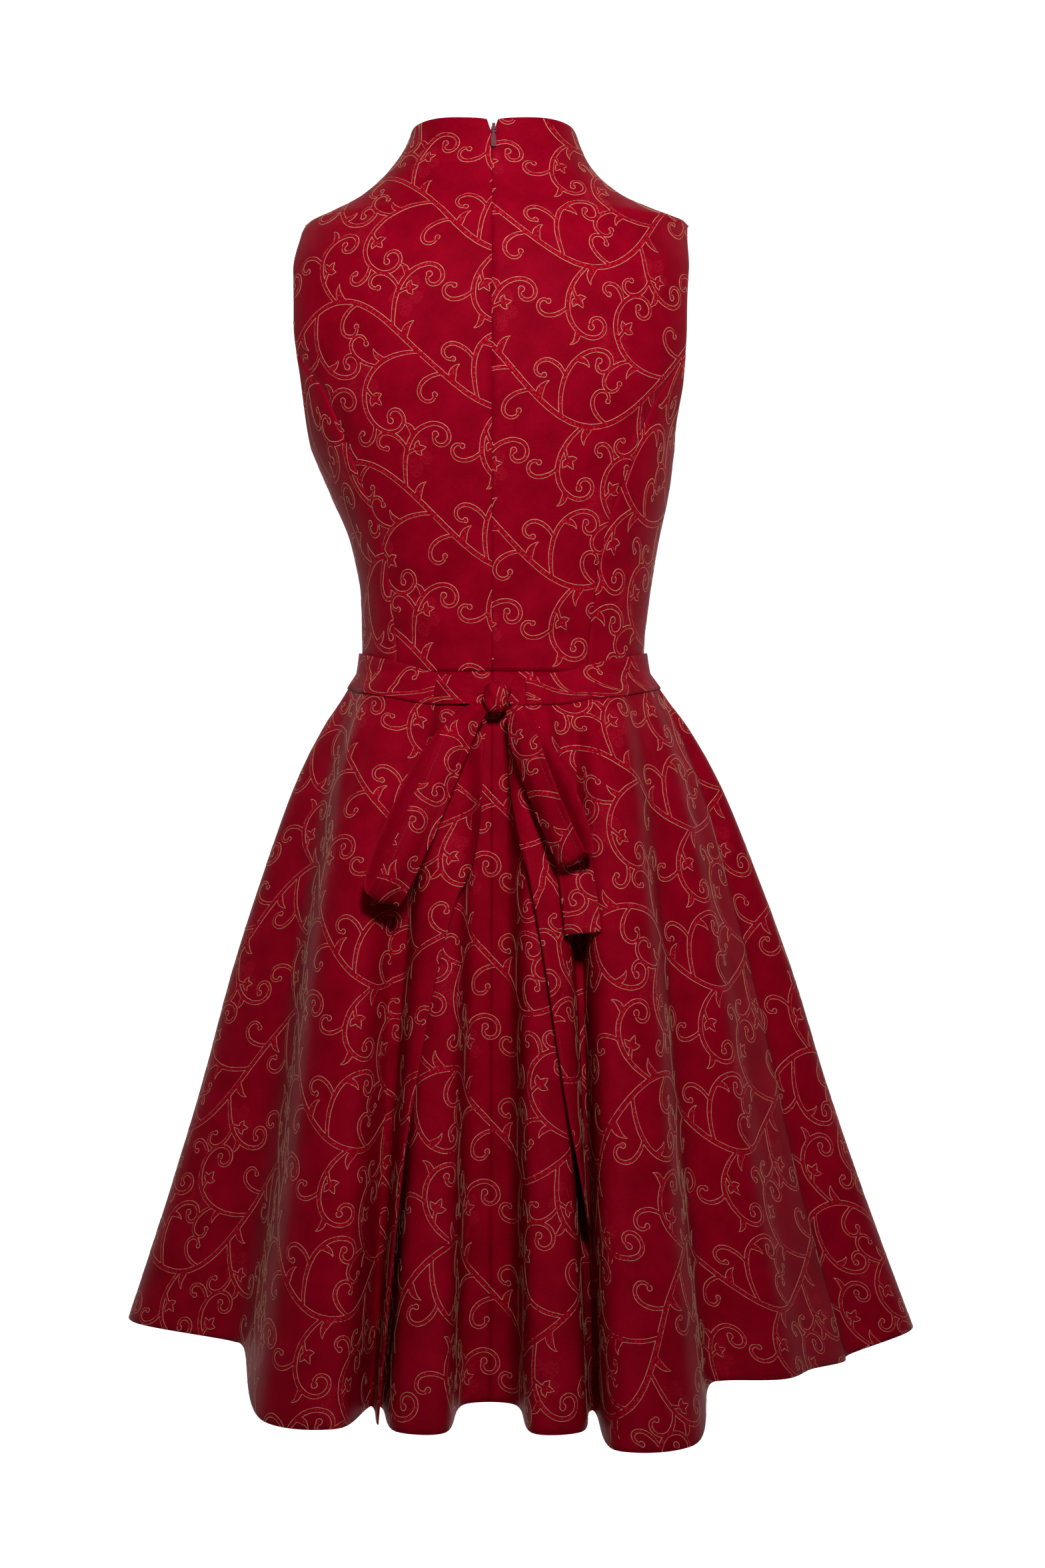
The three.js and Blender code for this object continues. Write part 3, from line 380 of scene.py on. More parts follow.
@dataclass
class Cloth:
    """One panel of cloth: its outer face as rows of points, and where each lies on the cut.

    Its grain line runs down it at a share of its width. A flared panel is cut as part of a ring. The
    shift moves the cut over the drawing, which lies on the shown share of its columns.
    """

    name: str
    points: Array
    grain: float = 0.5
    flared: bool = False
    shift: tuple[float, float] = (0.0, 0.0)
    shown: tuple[float, float] = (0.0, 1.0)
    least_growth: float = 1.0

    def __post_init__(self) -> None:
        """Measures the panel along its rows and down its grain line."""
        self.normals = normals_of(self.points)
        run = run_along(self.points)
        columns = run.shape[1]
        line = self.grain * (columns - 1)
        first = min(int(line), columns - 2)
        self.across = run - mix(run[:, first], run[:, first + 1], line - first)[:, None]
        down = np.linalg.norm(np.diff(self.points[:, first], axis=0), axis=-1)
        self.drop = down.sum() - np.r_[0, np.cumsum(down)]
        width = self.across[:, -1] - self.across[:, 0]
        growth = max(width[0] - width[-1], self.least_growth)
        self.radius = width[-1] * self.drop[0] / growth if self.flared else 0.0

    def area(self) -> float:
        """The panel's area in square metres."""
        a, b = self.points[1:, 1:] - self.points[:-1, :-1], self.points[1:, :-1] - self.points[:-1, 1:]
        return float(np.linalg.norm(np.cross(a, b), axis=-1).sum() / 2 * MM * MM)

    def flat(self) -> Array:
        """Lays the panel flat.

        Returns:
            Where each point lies on the cut: across it, and up from its top edge.
        """
        drop = np.broadcast_to(self.drop[:, None], self.across.shape)
        if not self.flared:
            cut = np.stack([self.across, -drop], axis=-1)
        else:
            reach = self.radius + drop
            turn = self.across / reach
            cut = np.stack([reach * np.sin(turn), self.radius - reach * np.cos(turn)], axis=-1)
        return cut + np.array(self.shift)

    def cut_size(self) -> tuple[float, float]:
        """Measures the cut.

        Returns:
            Its width and its length, in metres.
        """
        cut = self.flat().reshape(-1, 2)
        width, length = (cut.max(axis=0) - cut.min(axis=0)) * MM
        return float(width), float(length)

    def places(self, cut: Array) -> tuple[Array, Array, Array]:
        """Finds places of the cut on the panel.

        Args:
            cut: Places on the cut.

        Returns:
            Rows and columns as fractions, and whether each place lies on the panel's shown part.
        """
        cut = cut - np.array(self.shift)
        if self.flared:
            reach = np.hypot(cut[:, 0], self.radius - cut[:, 1])
            across = np.arctan2(cut[:, 0], self.radius - cut[:, 1]) * reach
            drop = reach - self.radius
        else:
            across, drop = cut[:, 0], -cut[:, 1]
        rows, columns = self.across.shape
        row = np.interp(drop, self.drop[::-1], np.arange(rows)[::-1].astype(float))
        low_row = np.minimum(row.astype(int), rows - 2)
        share = row - low_row

        def reach_at(column: Array) -> Array:
            """How far across the cut a column lies in each place's row."""
            return mix(self.across[low_row, column], self.across[low_row + 1, column], share)

        first = np.zeros(len(cut), int)
        last = np.full(len(cut), columns - 1)
        within = (drop >= self.drop[-1]) & (drop <= self.drop[0])
        within &= (across >= reach_at(first)) & (across <= reach_at(last))
        while (last - first).max() > 1:
            middle = (first + last) // 2
            after = reach_at(middle) <= across
            first = np.where(after & (last - first > 1), middle, first)
            last = np.where(~after & (last - first > 1), middle, last)
        low = reach_at(first)
        span = np.maximum(reach_at(np.minimum(first + 1, columns - 1)) - low, 1e-6)
        column = first + np.clip((across - low) / span, 0, 1)
        within &= (column >= self.shown[0] * (columns - 1)) & (column <= self.shown[1] * (columns - 1))
        return row, column, within

    def on_face(self, row: Array, column: Array) -> tuple[Array, Array]:
        """Reads the panel's face.

        Args:
            row: Rows as fractions.
            column: Columns as fractions.

        Returns:
            Points on the face, and the ways out of it.
        """
        rows, columns = self.across.shape
        i = np.minimum(row.astype(int), rows - 2)
        j = np.minimum(column.astype(int), columns - 2)
        u, v = (row - i)[:, None], (column - j)[:, None]

        def read(grid: Array) -> Array:
            """The grid's value at each place."""
            low, high = (mix(grid[k, j], grid[k, j + 1], v) for k in (i, i + 1))
            return mix(low, high, u)

        return read(self.points), unit(read(self.normals))


SEAM_SPREAD = 0.12
SEAM_ROLL = 1.5


def spread_out(rows: Array) -> Array:
    """Moves a grid's end columns out, so that little of the seam's gap shows.

    Args:
        rows: Rows of points.

    Returns:
        The changed grid.
    """
    points = rows.copy()
    for end, inner in ((0, 1), (-1, -2)):
        way = rows[:, end] - rows[:, inner]
        length = np.linalg.norm(way, axis=-1, keepdims=True)
        points[:, end] += way * (SEAM_SPREAD / np.maximum(length, TINY))
    return points


def dented(points: Array, creases: Iterable[Crease], seams: float = 0.0) -> Array:
    """A grid of points with its creases pressed in, and its side edges rolled to their seams.

    Args:
        points: Rows of points.
        creases: The creases.
        seams: How deep the cloth sinks to the seams at both ends of its rows.

    Returns:
        The changed grid.
    """
    way = normals_of(points)
    lift = sum((crease.lift(points) for crease in creases), np.zeros(points.shape[:2]))
    if seams:
        run = run_along(points)
        edge = np.minimum(run, run[:, -1:] - run)
        lift = lift - seams * np.exp(-edge / SEAM_ROLL)
    return points + way * lift[..., None]


# ---- Meshes ----


WELD_GAP = 1e-6


def placed(name: str, data: bpy.types.ID) -> Piece:
    """Puts a new object in the scene.

    Args:
        name: Its name.
        data: Its mesh, light or camera.

    Returns:
        The object.
    """
    made = bpy.data.objects.new(name, data)
    bpy.context.scene.collection.objects.link(made)
    return made


def grid_object(
    name: str, points: Array, uv: Array, finish: "Finish", breaks: Array | None = None
) -> Piece:
    """Makes a piece from a grid of points.

    Args:
        name: The piece's name.
        points: Rows of points in millimetres.
        uv: A flat place in metres for each point.
        finish: The piece's finish.
        breaks: Rows after which the grid is cut apart.

    Returns:
        The new object, in the scene.
    """
    rows, columns = points.shape[:2]
    mesh = bpy.data.meshes.new(name)
    bm = bmesh.new()
    bmesh.ops.create_grid(bm, x_segments=columns - 1, y_segments=rows - 1, size=0.5)
    bm.to_mesh(mesh)
    mesh.vertices.foreach_set("co", (points.reshape(-1) * MM).astype(np.float32))
    layer = mesh.uv_layers.new(name="cut")
    corner = np.empty(len(mesh.loops), np.int32)
    mesh.loops.foreach_get("vertex_index", corner)
    layer.data.foreach_set("uv", uv.reshape(-1, 2)[corner].reshape(-1).astype(np.float32))
    bm.clear()
    if breaks is not None and len(breaks):
        bm.from_mesh(mesh)
        bm.faces.ensure_lookup_table()
        bridges = (np.asarray(breaks)[:, None] * (columns - 1) + np.arange(columns - 1)).reshape(-1)
        bmesh.ops.delete(bm, geom=[bm.faces[i] for i in bridges], context="FACES")
        bm.to_mesh(mesh)
    bm.free()
    mesh.polygons.foreach_set("use_smooth", np.ones(len(mesh.polygons), bool))
    mesh.update()
    mesh.materials.append(finish.material())
    return placed(name, mesh)


def weld(piece: Piece) -> None:
    """Joins the points of a piece that meet.

    Args:
        piece: The piece.
    """
    bm = bmesh.new()
    bm.from_mesh(piece.data)
    bmesh.ops.remove_doubles(bm, verts=bm.verts, dist=WELD_GAP)
    bm.to_mesh(piece.data)
    bm.free()


def thicken(piece: Piece, wall: float) -> None:
    """Gives a sheet its thickness, inwards from its face.

    Args:
        piece: The sheet.
        wall: The thickness in millimetres.
    """
    solidify = piece.modifiers.new("wall", "SOLIDIFY")
    solidify.thickness = wall * MM
    solidify.offset = -1
    solidify.use_even_offset = False


# ---- Materials ----


class Wire:
    """A socket of a material's nodes, on which sums are written as Python expressions."""

    def __init__(self, nodes: "Nodes", socket: bpy.types.NodeSocket) -> None:
        """Keeps the socket and the nodes that it belongs to."""
        self.nodes = nodes
        self.socket = socket

    def _sum(self, operation: str, first: "Wire | float", second: "Wire | float") -> "Wire":
        """A Math node on two values."""
        return self.nodes.add("ShaderNodeMath", {"operation": operation}, {0: first, 1: second})[0]

    def __add__(self, other: "Wire | float") -> "Wire":
        """The sum."""
        return self._sum("ADD", self, other)

    __radd__ = __add__

    def __sub__(self, other: "Wire | float") -> "Wire":
        """The difference."""
        return self._sum("SUBTRACT", self, other)

    def __rsub__(self, other: float) -> "Wire":
        """The difference from a number."""
        return self._sum("SUBTRACT", other, self)

    def __mul__(self, other: "Wire | float") -> "Wire":
        """The product."""
        return self._sum("MULTIPLY", self, other)

    def __truediv__(self, other: "Wire | float") -> "Wire":
        """The quotient."""
        return self._sum("DIVIDE", self, other)

    def call(self, operation: str, other: "Wire | float" = 0.0) -> "Wire":
        """Any other Math operation, such as SINE or MINIMUM."""
        return self._sum(operation, self, other)

    def step(self, low: float, high: float) -> "Wire":
        """A smooth rise from 0 at one value to 1 at another."""
        settings = {"interpolation_type": "SMOOTHSTEP"}
        return self.nodes.add("ShaderNodeMapRange", settings, {"Value": self, 1: low, 2: high})[0]


class Nodes:
    """The nodes of one material."""

    def __init__(self, name: str) -> None:
        """Starts a material with a Principled shader on its output.

        Args:
            name: The material's name.
        """
        self.material = bpy.data.materials.new(name)
        self.material.use_nodes = True
        self.tree = self.material.node_tree
        self.tree.nodes.clear()
        output = self.tree.nodes.new("ShaderNodeOutputMaterial")
        self.shader = self.tree.nodes.new("ShaderNodeBsdfPrincipled")
        self.tree.links.new(self.shader.outputs[0], output.inputs[0])

    def add(self, kind: str, settings: dict, sockets: dict) -> list[Wire]:
        """Adds a node.

        Args:
            kind: The node's type.
            settings: Its properties, set first.
            sockets: Values or wires for its inputs, by name or number.

        Returns:
            Its outputs.
        """
        node = self.tree.nodes.new(kind)
        for key, value in settings.items():
            setattr(node, key, value)
        for key, value in sockets.items():
            self._feed(node.inputs[key], value)
        return [Wire(self, socket) for socket in node.outputs]

    def _feed(self, socket: bpy.types.NodeSocket, value: object) -> None:
        """Links a wire to a socket, or sets the socket's value.

        Args:
            socket: The socket.
            value: A wire, or what the socket takes.
        """
        if isinstance(value, Wire):
            self.tree.links.new(value.socket, socket)
        else:
            socket.default_value = value

    def set(self, **values: object) -> None:
        """Feeds the Principled shader's sockets, named with _ for a space."""
        for key, value in values.items():
            self._feed(self.shader.inputs[key.replace("_", " ")], value)

    def uv(self) -> tuple[Wire, Wire, Wire]:
        """Reads the piece's flat place.

        Returns:
            The vector, then its two parts.
        """
        place = self.add("ShaderNodeUVMap", {"uv_map": "cut"}, {})[0]
        u, v, _ = self.add("ShaderNodeSeparateXYZ", {}, {0: place})
        return place, u, v

    def noise(self, place: Wire, scale: float, detail: float, rough: float = 0.5) -> Wire:
        """Soft noise from 0 to 1."""
        sockets = {"Vector": place, "Scale": scale, "Detail": detail, "Roughness": rough}
        return self.add("ShaderNodeTexNoise", {}, sockets)[0]

    def blend(self, share: Wire | float, a: object, b: object) -> Wire:
        """A colour between two others."""
        sockets = {"Factor": share, 6: a, 7: b}
        return self.add("ShaderNodeMix", {"data_type": "RGBA"}, sockets)[2]

    def bump(self, height: Wire, distance: float, strength: float) -> Wire:
        """Relief from a height from 0 to 1 and a distance in metres."""
        sockets = {"Height": height, "Distance": distance, "Strength": strength}
        return self.add("ShaderNodeBump", {}, sockets)[0]


def _linear(part: int) -> float:
    """An 8 bit value as a linear share."""
    share = part / 255
    return share / 12.92 if share <= 0.04045 else ((share + 0.055) / 1.055) ** 2.4


def srgb(red: int, green: int, blue: int) -> tuple[float, float, float, float]:
    """A colour from its 8 bit values, as a shader wants it."""
    return _linear(red), _linear(green), _linear(blue), 1.0


TURN = 2 * math.pi
SATIN_SHINE = {"Specular_IOR_Level": 0.035, "Specular_Tint": srgb(255, 150, 160)}


@dataclass(frozen=True)
class Finish:
    """A finish. Its material is made once and shared."""

    name: str

    def material(self) -> bpy.types.Material:
        """The finish's material, made on the first call.

        Returns:
            The material.
        """
        found = bpy.data.materials.get(self.name)
        if found:
            return found
        nodes = Nodes(self.name)
        self.paint(nodes)
        return nodes.material

    def paint(self, nodes: Nodes) -> None:
        """Sets the colour and the relief."""
        raise NotImplementedError


@dataclass(frozen=True)
class SatinGround(Finish):
    """The cloth's crimson satin ground, with blossoms woven tone on tone."""

    deep: tuple = srgb(130, 0, 22)
    bright: tuple = srgb(170, 4, 36)
    blossom: tuple = srgb(192, 30, 50)
    thread: float = 0.00042
    slub: tuple[float, float, float] = (300, 1400, 1)
    cloud: float = 34.0
    speck: float = 900.0
    frayed: float = 620.0
    relief: float = 0.00022
    repeat: tuple[float, float] = (0.2635, 0.1275)
    blossoms: tuple = ((-0.052, 0.043), (-0.012, 0.112), (-0.184, 0.0845), (-0.144, 0.0155))
    squash: float = 0.62
    petal: tuple[float, float] = (0.0085, 0.006)
    heart: tuple[float, float] = (0.0045, 0.0012)
    blossom_share: float = 0.4
    roughness: float = 0.52

    def paint(self, nodes: Nodes) -> None:
        """Sets the colour and the relief.

        Args:
            nodes: The material's nodes.
        """
        place, u, v = nodes.uv()
        warp, weft = ((way * (TURN / self.thread)).call("SINE") for way in (u, v))
        weave = (warp * weft) * 0.25 + 0.5
        stretched = nodes.add("ShaderNodeMapping", {}, {"Vector": place, "Scale": self.slub})[0]
        slub = nodes.noise(stretched, 1.0, 3.0)
        cloud = nodes.noise(place, self.cloud, 3.0, 0.6)
        speck = nodes.noise(place, self.speck, 2.0, 0.6)
        tone = (cloud * 0.55 + slub * 0.3 + speck * 0.35).step(0.32, 0.9)
        ground = nodes.blend(tone, self.deep, self.bright)
        motif = self._motif(nodes, u, v) * nodes.noise(place, self.frayed, 2.0, 0.7).step(0.38, 0.62)
        nodes.set(
            Base_Color=nodes.blend(motif * self.blossom_share, ground, self.blossom),
            Roughness=self.roughness - motif * 0.12 + slub * 0.06,
            Normal=nodes.bump(weave * 0.5 + slub * 0.5 + motif * 0.4, self.relief, 0.6),
            **SATIN_SHINE,
        )

    def _motif(self, nodes: Nodes, u: Wire, v: Wire) -> Wire:
        """How much of a blossom shows: a five-petalled flower with a pale heart, on a lattice.

        Args:
            nodes: The material's nodes.
            u: Across the cut.
            v: Up the cut.

        Returns:
            From 0 on the ground to 1 on a blossom.
        """
        shows = None
        for x, y in self.blossoms:
            across = ((u - x) / self.repeat[0] + 0.5).call("FRACT") - 0.5
            up = ((v - y) / self.repeat[1] + 0.5).call("FRACT") - 0.5
            across, up = across * self.repeat[0], up * self.repeat[1]
            reach = (across * across + up * up * self.squash).call("SQRT")
            turn = up.call("ARCTAN2", across)
            petals = (turn * 2.5 + 0.785).call("COSINE").call("ABSOLUTE") * self.petal[1] + self.petal[0]
            inner = (turn * 4.0).call("SINE") * self.heart[1] + self.heart[0]
            within = (petals - reach).step(-0.0006, 0.0008)
            flower = within * (1 - (inner - reach).step(-0.0004, 0.0006) * 0.6)
            shows = flower if shows is None else shows.call("MAXIMUM", flower)
        return shows


@dataclass(frozen=True)
class GoldLine(Finish):
    """The pale gold cord that outlines the scrolls."""

    dark: tuple = srgb(190, 144, 104)
    light: tuple = srgb(240, 208, 168)
    twist: float = 0.0011
    worn: float = 260.0
    relief: float = 0.00015

    def paint(self, nodes: Nodes) -> None:
        """Sets the colour and the relief.

        Args:
            nodes: The material's nodes.
        """
        place, u, v = nodes.uv()
        # The twist's relief, which also sets the colour: painted shade in the grooves between the plies,
        # painted light on their crests.
        ply_relief_and_shade = ((u + v * 0.5) * (TURN / self.twist)).call("SINE") * 0.5 + 0.5
        wear = nodes.noise(place, self.worn, 2.0)
        nodes.set(
            # Colour: painted shade and painted light along the twist, mixed with random wear.
            Base_Color=nodes.blend(ply_relief_and_shade * 0.5 + wear * 0.5, self.dark, self.light),
            Roughness=0.55 + wear * 0.15,
            Normal=nodes.bump(ply_relief_and_shade, self.relief, 0.7),
            Specular_IOR_Level=0.3,
        )


@dataclass(frozen=True)
class ScrollFill(Finish):
    """The brighter red inside the scrolls, with rows of small dots."""

    base: tuple = srgb(146, 0, 24)
    light: tuple = srgb(170, 6, 36)
    dots: tuple = srgb(212, 40, 58)
    pitch: float = 0.0031
    grain: float = 800.0
    relief: float = 0.00015

    def paint(self, nodes: Nodes) -> None:
        """Sets the colour and the relief.

        Args:
            nodes: The material's nodes.
        """
        place, u, _ = nodes.uv()
        sockets = {"Vector": place, "Scale": 1 / self.pitch}
        cells = nodes.add("ShaderNodeTexVoronoi", {"voronoi_dimensions": "2D"}, sockets)[0]
        dot = 1 - cells.step(0.14, 0.3)
        grain = nodes.noise(place, self.grain, 2.0)
        nodes.set(
            Base_Color=nodes.blend(dot * 0.7, nodes.blend(grain, self.base, self.light), self.dots),
            Roughness=0.5 + grain * 0.1,
            Normal=nodes.bump(dot * 0.7 + grain * 0.3, self.relief, 0.5),
            **SATIN_SHINE,
        )


@dataclass(frozen=True)
class TapeWeave(Finish):
    """The zip's tape: a close herringbone in a darker red."""

    colour: tuple = srgb(92, 10, 24)
    shade: tuple = srgb(62, 6, 16)
    rib: float = 0.0009
    slant_width: float = 0.004
    slant_rise: float = 0.0013
    relief: float = 0.0002

    def paint(self, nodes: Nodes) -> None:
        """Sets the colour and the relief.

        Args:
            nodes: The material's nodes.
        """
        _, u, v = nodes.uv()
        slant = (u * (math.pi / self.slant_width)).call("SINE").call("ABSOLUTE") * self.slant_rise
        rows = ((v + slant) * (TURN / self.rib)).call("SINE") * 0.5 + 0.5
        nodes.set(
            Base_Color=nodes.blend(rows, self.shade, self.colour),
            Roughness=0.75 + rows * 0.1,
            Normal=nodes.bump(rows, self.relief, 0.6),
        )


@dataclass(frozen=True)
class ZipPaint(Finish):
    """The slider's and the pull tab's satin paint."""

    colour: tuple = srgb(104, 40, 54)
    worn: tuple = srgb(132, 66, 78)
    patches: float = 700.0
    relief: float = 0.00008

    def paint(self, nodes: Nodes) -> None:
        """Sets the colour and the relief.

        Args:
            nodes: The material's nodes.
        """
        place = nodes.add("ShaderNodeTexCoord", {}, {})[3]
        patch = nodes.noise(place, self.patches, 3.0)
        nodes.set(
            Base_Color=nodes.blend(patch.step(0.55, 0.75), self.colour, self.worn),
            Roughness=0.42 + patch * 0.16,
            Normal=nodes.bump(patch, self.relief, 0.4),
            Specular_IOR_Level=0.25,
        )


@dataclass(frozen=True)
class PlainPaper(Finish):
    """The studio's seamless paper."""

    colour: tuple = srgb(240, 240, 240)
    shade: tuple = srgb(230, 230, 229)
    tooth: float = 60.0
    relief: float = 0.0003
    glow: float = 0.0

    def paint(self, nodes: Nodes) -> None:
        """Sets the colour and the relief.

        Args:
            nodes: The material's nodes.
        """
        place = nodes.add("ShaderNodeTexCoord", {}, {})[3]
        tooth = nodes.noise(place, self.tooth, 3.0)
        nodes.set(
            Base_Color=nodes.blend(tooth * 0.3, self.colour, self.shade),
            Roughness=0.9,
            Normal=nodes.bump(tooth, self.relief, 0.2),
            Emission_Color=(1.0, 1.0, 1.0, 1.0),
            Emission_Strength=self.glow,
        )


GROUND = SatinGround("crimson_jacquard")
GOLD = GoldLine("gold_outline")
THREAD = GoldLine("sewing_thread", srgb(96, 0, 14), srgb(150, 12, 34))
FILL = ScrollFill("scroll_fill")
TAPE = TapeWeave("zip_tape_weave")
PAINT = ZipPaint("zip_paint")
PAPER = PlainPaper("studio_paper")
LIT_PAPER = PlainPaper("lit_studio_paper", glow=0.85)


# ---- The scrolls ----


def heading(degrees: float) -> Array:
    """A unit vector at an angle from +X."""
    return np.array([math.cos(math.radians(degrees)), math.sin(math.radians(degrees))])


@dataclass
class Stroke:
    """A band of the drawing: its middle line, and half its width there."""

    line: Array
    half: Array

    def edges(self) -> Array:
        """The band's outline, up one side and back down the other."""
        side = left_of(np.gradient(self.line, axis=0)) * self.half[:, None]
        return np.r_[self.line + side, (self.line - side)[::-1]]


RUNS_IN_STROKE = 100
RUNS_IN_COPY = 100000
PARTS_OF_RUN = 64
LEAST_ROWS = 3


@dataclass
class ScrollRepeat:
    """One repeat of the scroll: a wavy vine with volutes, thorns and buds, then its mirror image.

    It is drawn upright, its second half the first one mirrored and moved up by half the repeat.
    Then it is turned on its side, as it lies on the cloth.
    """

    width: float = 150.0
    height: float = 310.0
    sway: float = 52.0
    vine: float = 2.4
    branch: float = 2.1
    twig: float = 1.75
    scale: float = 0.85
    step: float = 0.6
    root: float = 0.7
    swelling: float = 0.3
    widest: float = 0.35
    thinning: float = 0.36
    ball: float = 1.35
    ball_rows: int = 15
    twig_bends: tuple = ((0, 3.6), (1.3, 1.5), (1.1, 0.6), (1.3, 0.4))
    thorn_half: float = 0.17
    thorn_bend: float = 70.0
    stalk_half: float = 0.8
    petals: tuple = ((-62, 0.95), (0, 1.15), (62, 0.95))
    petal_half: float = 0.3
    petal_rows: int = 18
    # each branch of the vine: how far up it springs, its turn there, and its bends
    branches: tuple = (
        (0.03, 44, ((0, 90), (50, 46), (58, 30), (34, 11), (30, 5.5))),
        (0.66, 50, ((0, 200), (34, 56), (42, 25), (28, 9), (24, 5.5))),
        (0.2, -50, ((0, 200), (26, -70), (42, -26), (30, -9), (24, -5.5))),
        (0.54, -48, ((0, -90), (36, -44), (42, -24), (28, -9), (24, -5.5))),
    )
    margin: float = 4.0
    overlap: float = 0.12
    waver: float = 0.07
    waver_length: float = 2.1
    seed: int = 7
    strokes: list[Stroke] = field(default_factory=list)

    def __post_init__(self) -> None:
        """Draws the repeat."""
        self._half()
        for stroke in list(self.strokes):
            line = np.c_[self.width - stroke.line[:, 0], stroke.line[:, 1] + self.height / 2]
            self.strokes.append(Stroke(line[::-1], stroke.half[::-1]))
        for stroke in self.strokes:
            stroke.line = np.c_[-stroke.line[:, 1], stroke.line[:, 0]] * self.scale
            stroke.half = stroke.half * self.scale
        self.width, self.height = self.height * self.scale, self.width * self.scale

    def _even(self, points: Array) -> Array:
        """Spaces a line's points evenly.

        Args:
            points: The line.

        Returns:
            The same line with other points.
        """
        run = run_along(points)
        marks = np.linspace(0, run[-1], max(int(run[-1] / self.step), 4))
        return np.stack([np.interp(marks, run, points[:, i]) for i in (0, 1)], axis=1)

    def _wind(self, start: Array, way: float, bends: Sequence[tuple[float, float]]) -> Array:
        """Draws a line that winds.

        Args:
            start: Where it starts.
            way: The angle at which it leaves.
            bends: How far each place is from the last one, and the radius there, positive to the left.

        Returns:
            The line.
        """
        marks = np.cumsum([length for length, _ in bends])
        run = np.arange(0, marks[-1], self.step)
        bend = np.interp(run, marks, [1 / radius for _, radius in bends])
        angle = math.radians(way) + np.cumsum(bend) * self.step
        return np.array(start) + np.cumsum(np.c_[np.cos(angle), np.sin(angle)], axis=0) * self.step

    def _branch(self, host: Array, share: float, turn: float, bends: Sequence[tuple], half: float) -> Array:
        """Draws a branch on a host line that winds to a volute and ends in a ball.

        Args:
            host: The line that it springs from.
            share: How far along the host.
            turn: The angle at which it leaves the host, positive to the left.
            bends: As for a winding line.
            half: Half the branch's greatest width.

        Returns:
            The branch's middle line.
        """
        line = self._wind(*self._at(host, share, turn), bends)
        self._band(line, half)
        self._ball(line[-1], half * self.ball)
        return line

    def _band(self, line: Array, half: float) -> None:
        """Draws a band that swells from its root and thins to its tip.

        Args:
            line: Its middle line.
            half: Half its greatest width.
        """
        t = np.linspace(0, 1, len(line))
        swell = self.root + self.swelling * np.sin(np.clip(t / self.widest, 0, 1) * math.pi / 2)
        loss = self.thinning * np.clip((t - self.widest) / (1 - self.widest), 0, 1) ** 1.4
        self.strokes.append(Stroke(line, half * (swell - loss)))

    def _ball(self, centre: Array, radius: float) -> None:
        """Draws a ball.

        Args:
            centre: Its middle.
            radius: Its radius.
        """
        across = np.sin(np.linspace(-math.pi / 2, math.pi / 2, self.ball_rows)) * radius
        line = centre + np.c_[across, np.zeros_like(across)]
        self.strokes.append(Stroke(line, np.sqrt(np.maximum(radius**2 - across**2, 0))))

    def _at(self, line: Array, share: float, turn: float) -> tuple[Array, float]:
        """Finds a place along a line.

        Args:
            line: The line.
            share: How far along.
            turn: Added to the line's angle there.

        Returns:
            The place and the angle.
        """
        i = int((len(line) - 2) * share)
        along = line[i + 1] - line[i]
        return line[i], math.degrees(math.atan2(along[1], along[0])) + turn

    def _twig(self, host: Array, share: float, turn: float, size: float) -> None:
        """Draws a small volute on a host line, winding left where the size is positive."""
        bends = [(length * abs(size), radius * size) for length, radius in self.twig_bends]
        self._branch(host, share, turn, bends, self.twig)

    def _thorn(self, host: Array, share: float, turn: float, length: float) -> None:
        """Draws a curved thorn on a host line.

        Args:
            host: The line that it springs from.
            share: How far along the host.
            turn: The angle at which it leaves the host.
            length: Its length.
        """
        start, way = self._at(host, share, turn)
        t = np.linspace(0, 1, max(int(length / self.step), 6))
        bend = way + math.copysign(self.thorn_bend, turn) * t**1.3
        steps = np.stack([np.cos(np.radians(bend)), np.sin(np.radians(bend))], axis=1) * length / len(t)
        line = start + np.cumsum(steps, axis=0)
        half = length * self.thorn_half * (1 - t) ** 0.7 * (0.7 + 0.7 * np.sin(t * math.pi))
        self.strokes.append(Stroke(line, half))

    def _bud(self, host: Array, share: float, turn: float, length: float, size: float) -> None:
        """Draws a three-petalled bud on a short stalk.

        Args:
            host: The line that it springs from.
            share: How far along the host.
            turn: The angle at which the stalk leaves the host.
            length: The stalk's length.
            size: The petals' length.
        """
        start, way = self._at(host, share, turn)
        end_way = way + turn / 3
        stalk = self._wind(start, way, ((0, 60), (length, math.copysign(length * 2, turn))))
        self.strokes.append(Stroke(stalk, np.full(len(stalk), self.twig * self.stalk_half)))
        for petal_turn, long in self.petals:
            t = np.linspace(0, 1, self.petal_rows)
            line = stalk[-1] + (t * size * long)[:, None] * heading(end_way + petal_turn)
            swell = np.sin(math.pi * np.clip(t * 0.93 + 0.07, 0, 1) ** 0.8)
            self.strokes.append(Stroke(line, size * self.petal_half * swell))

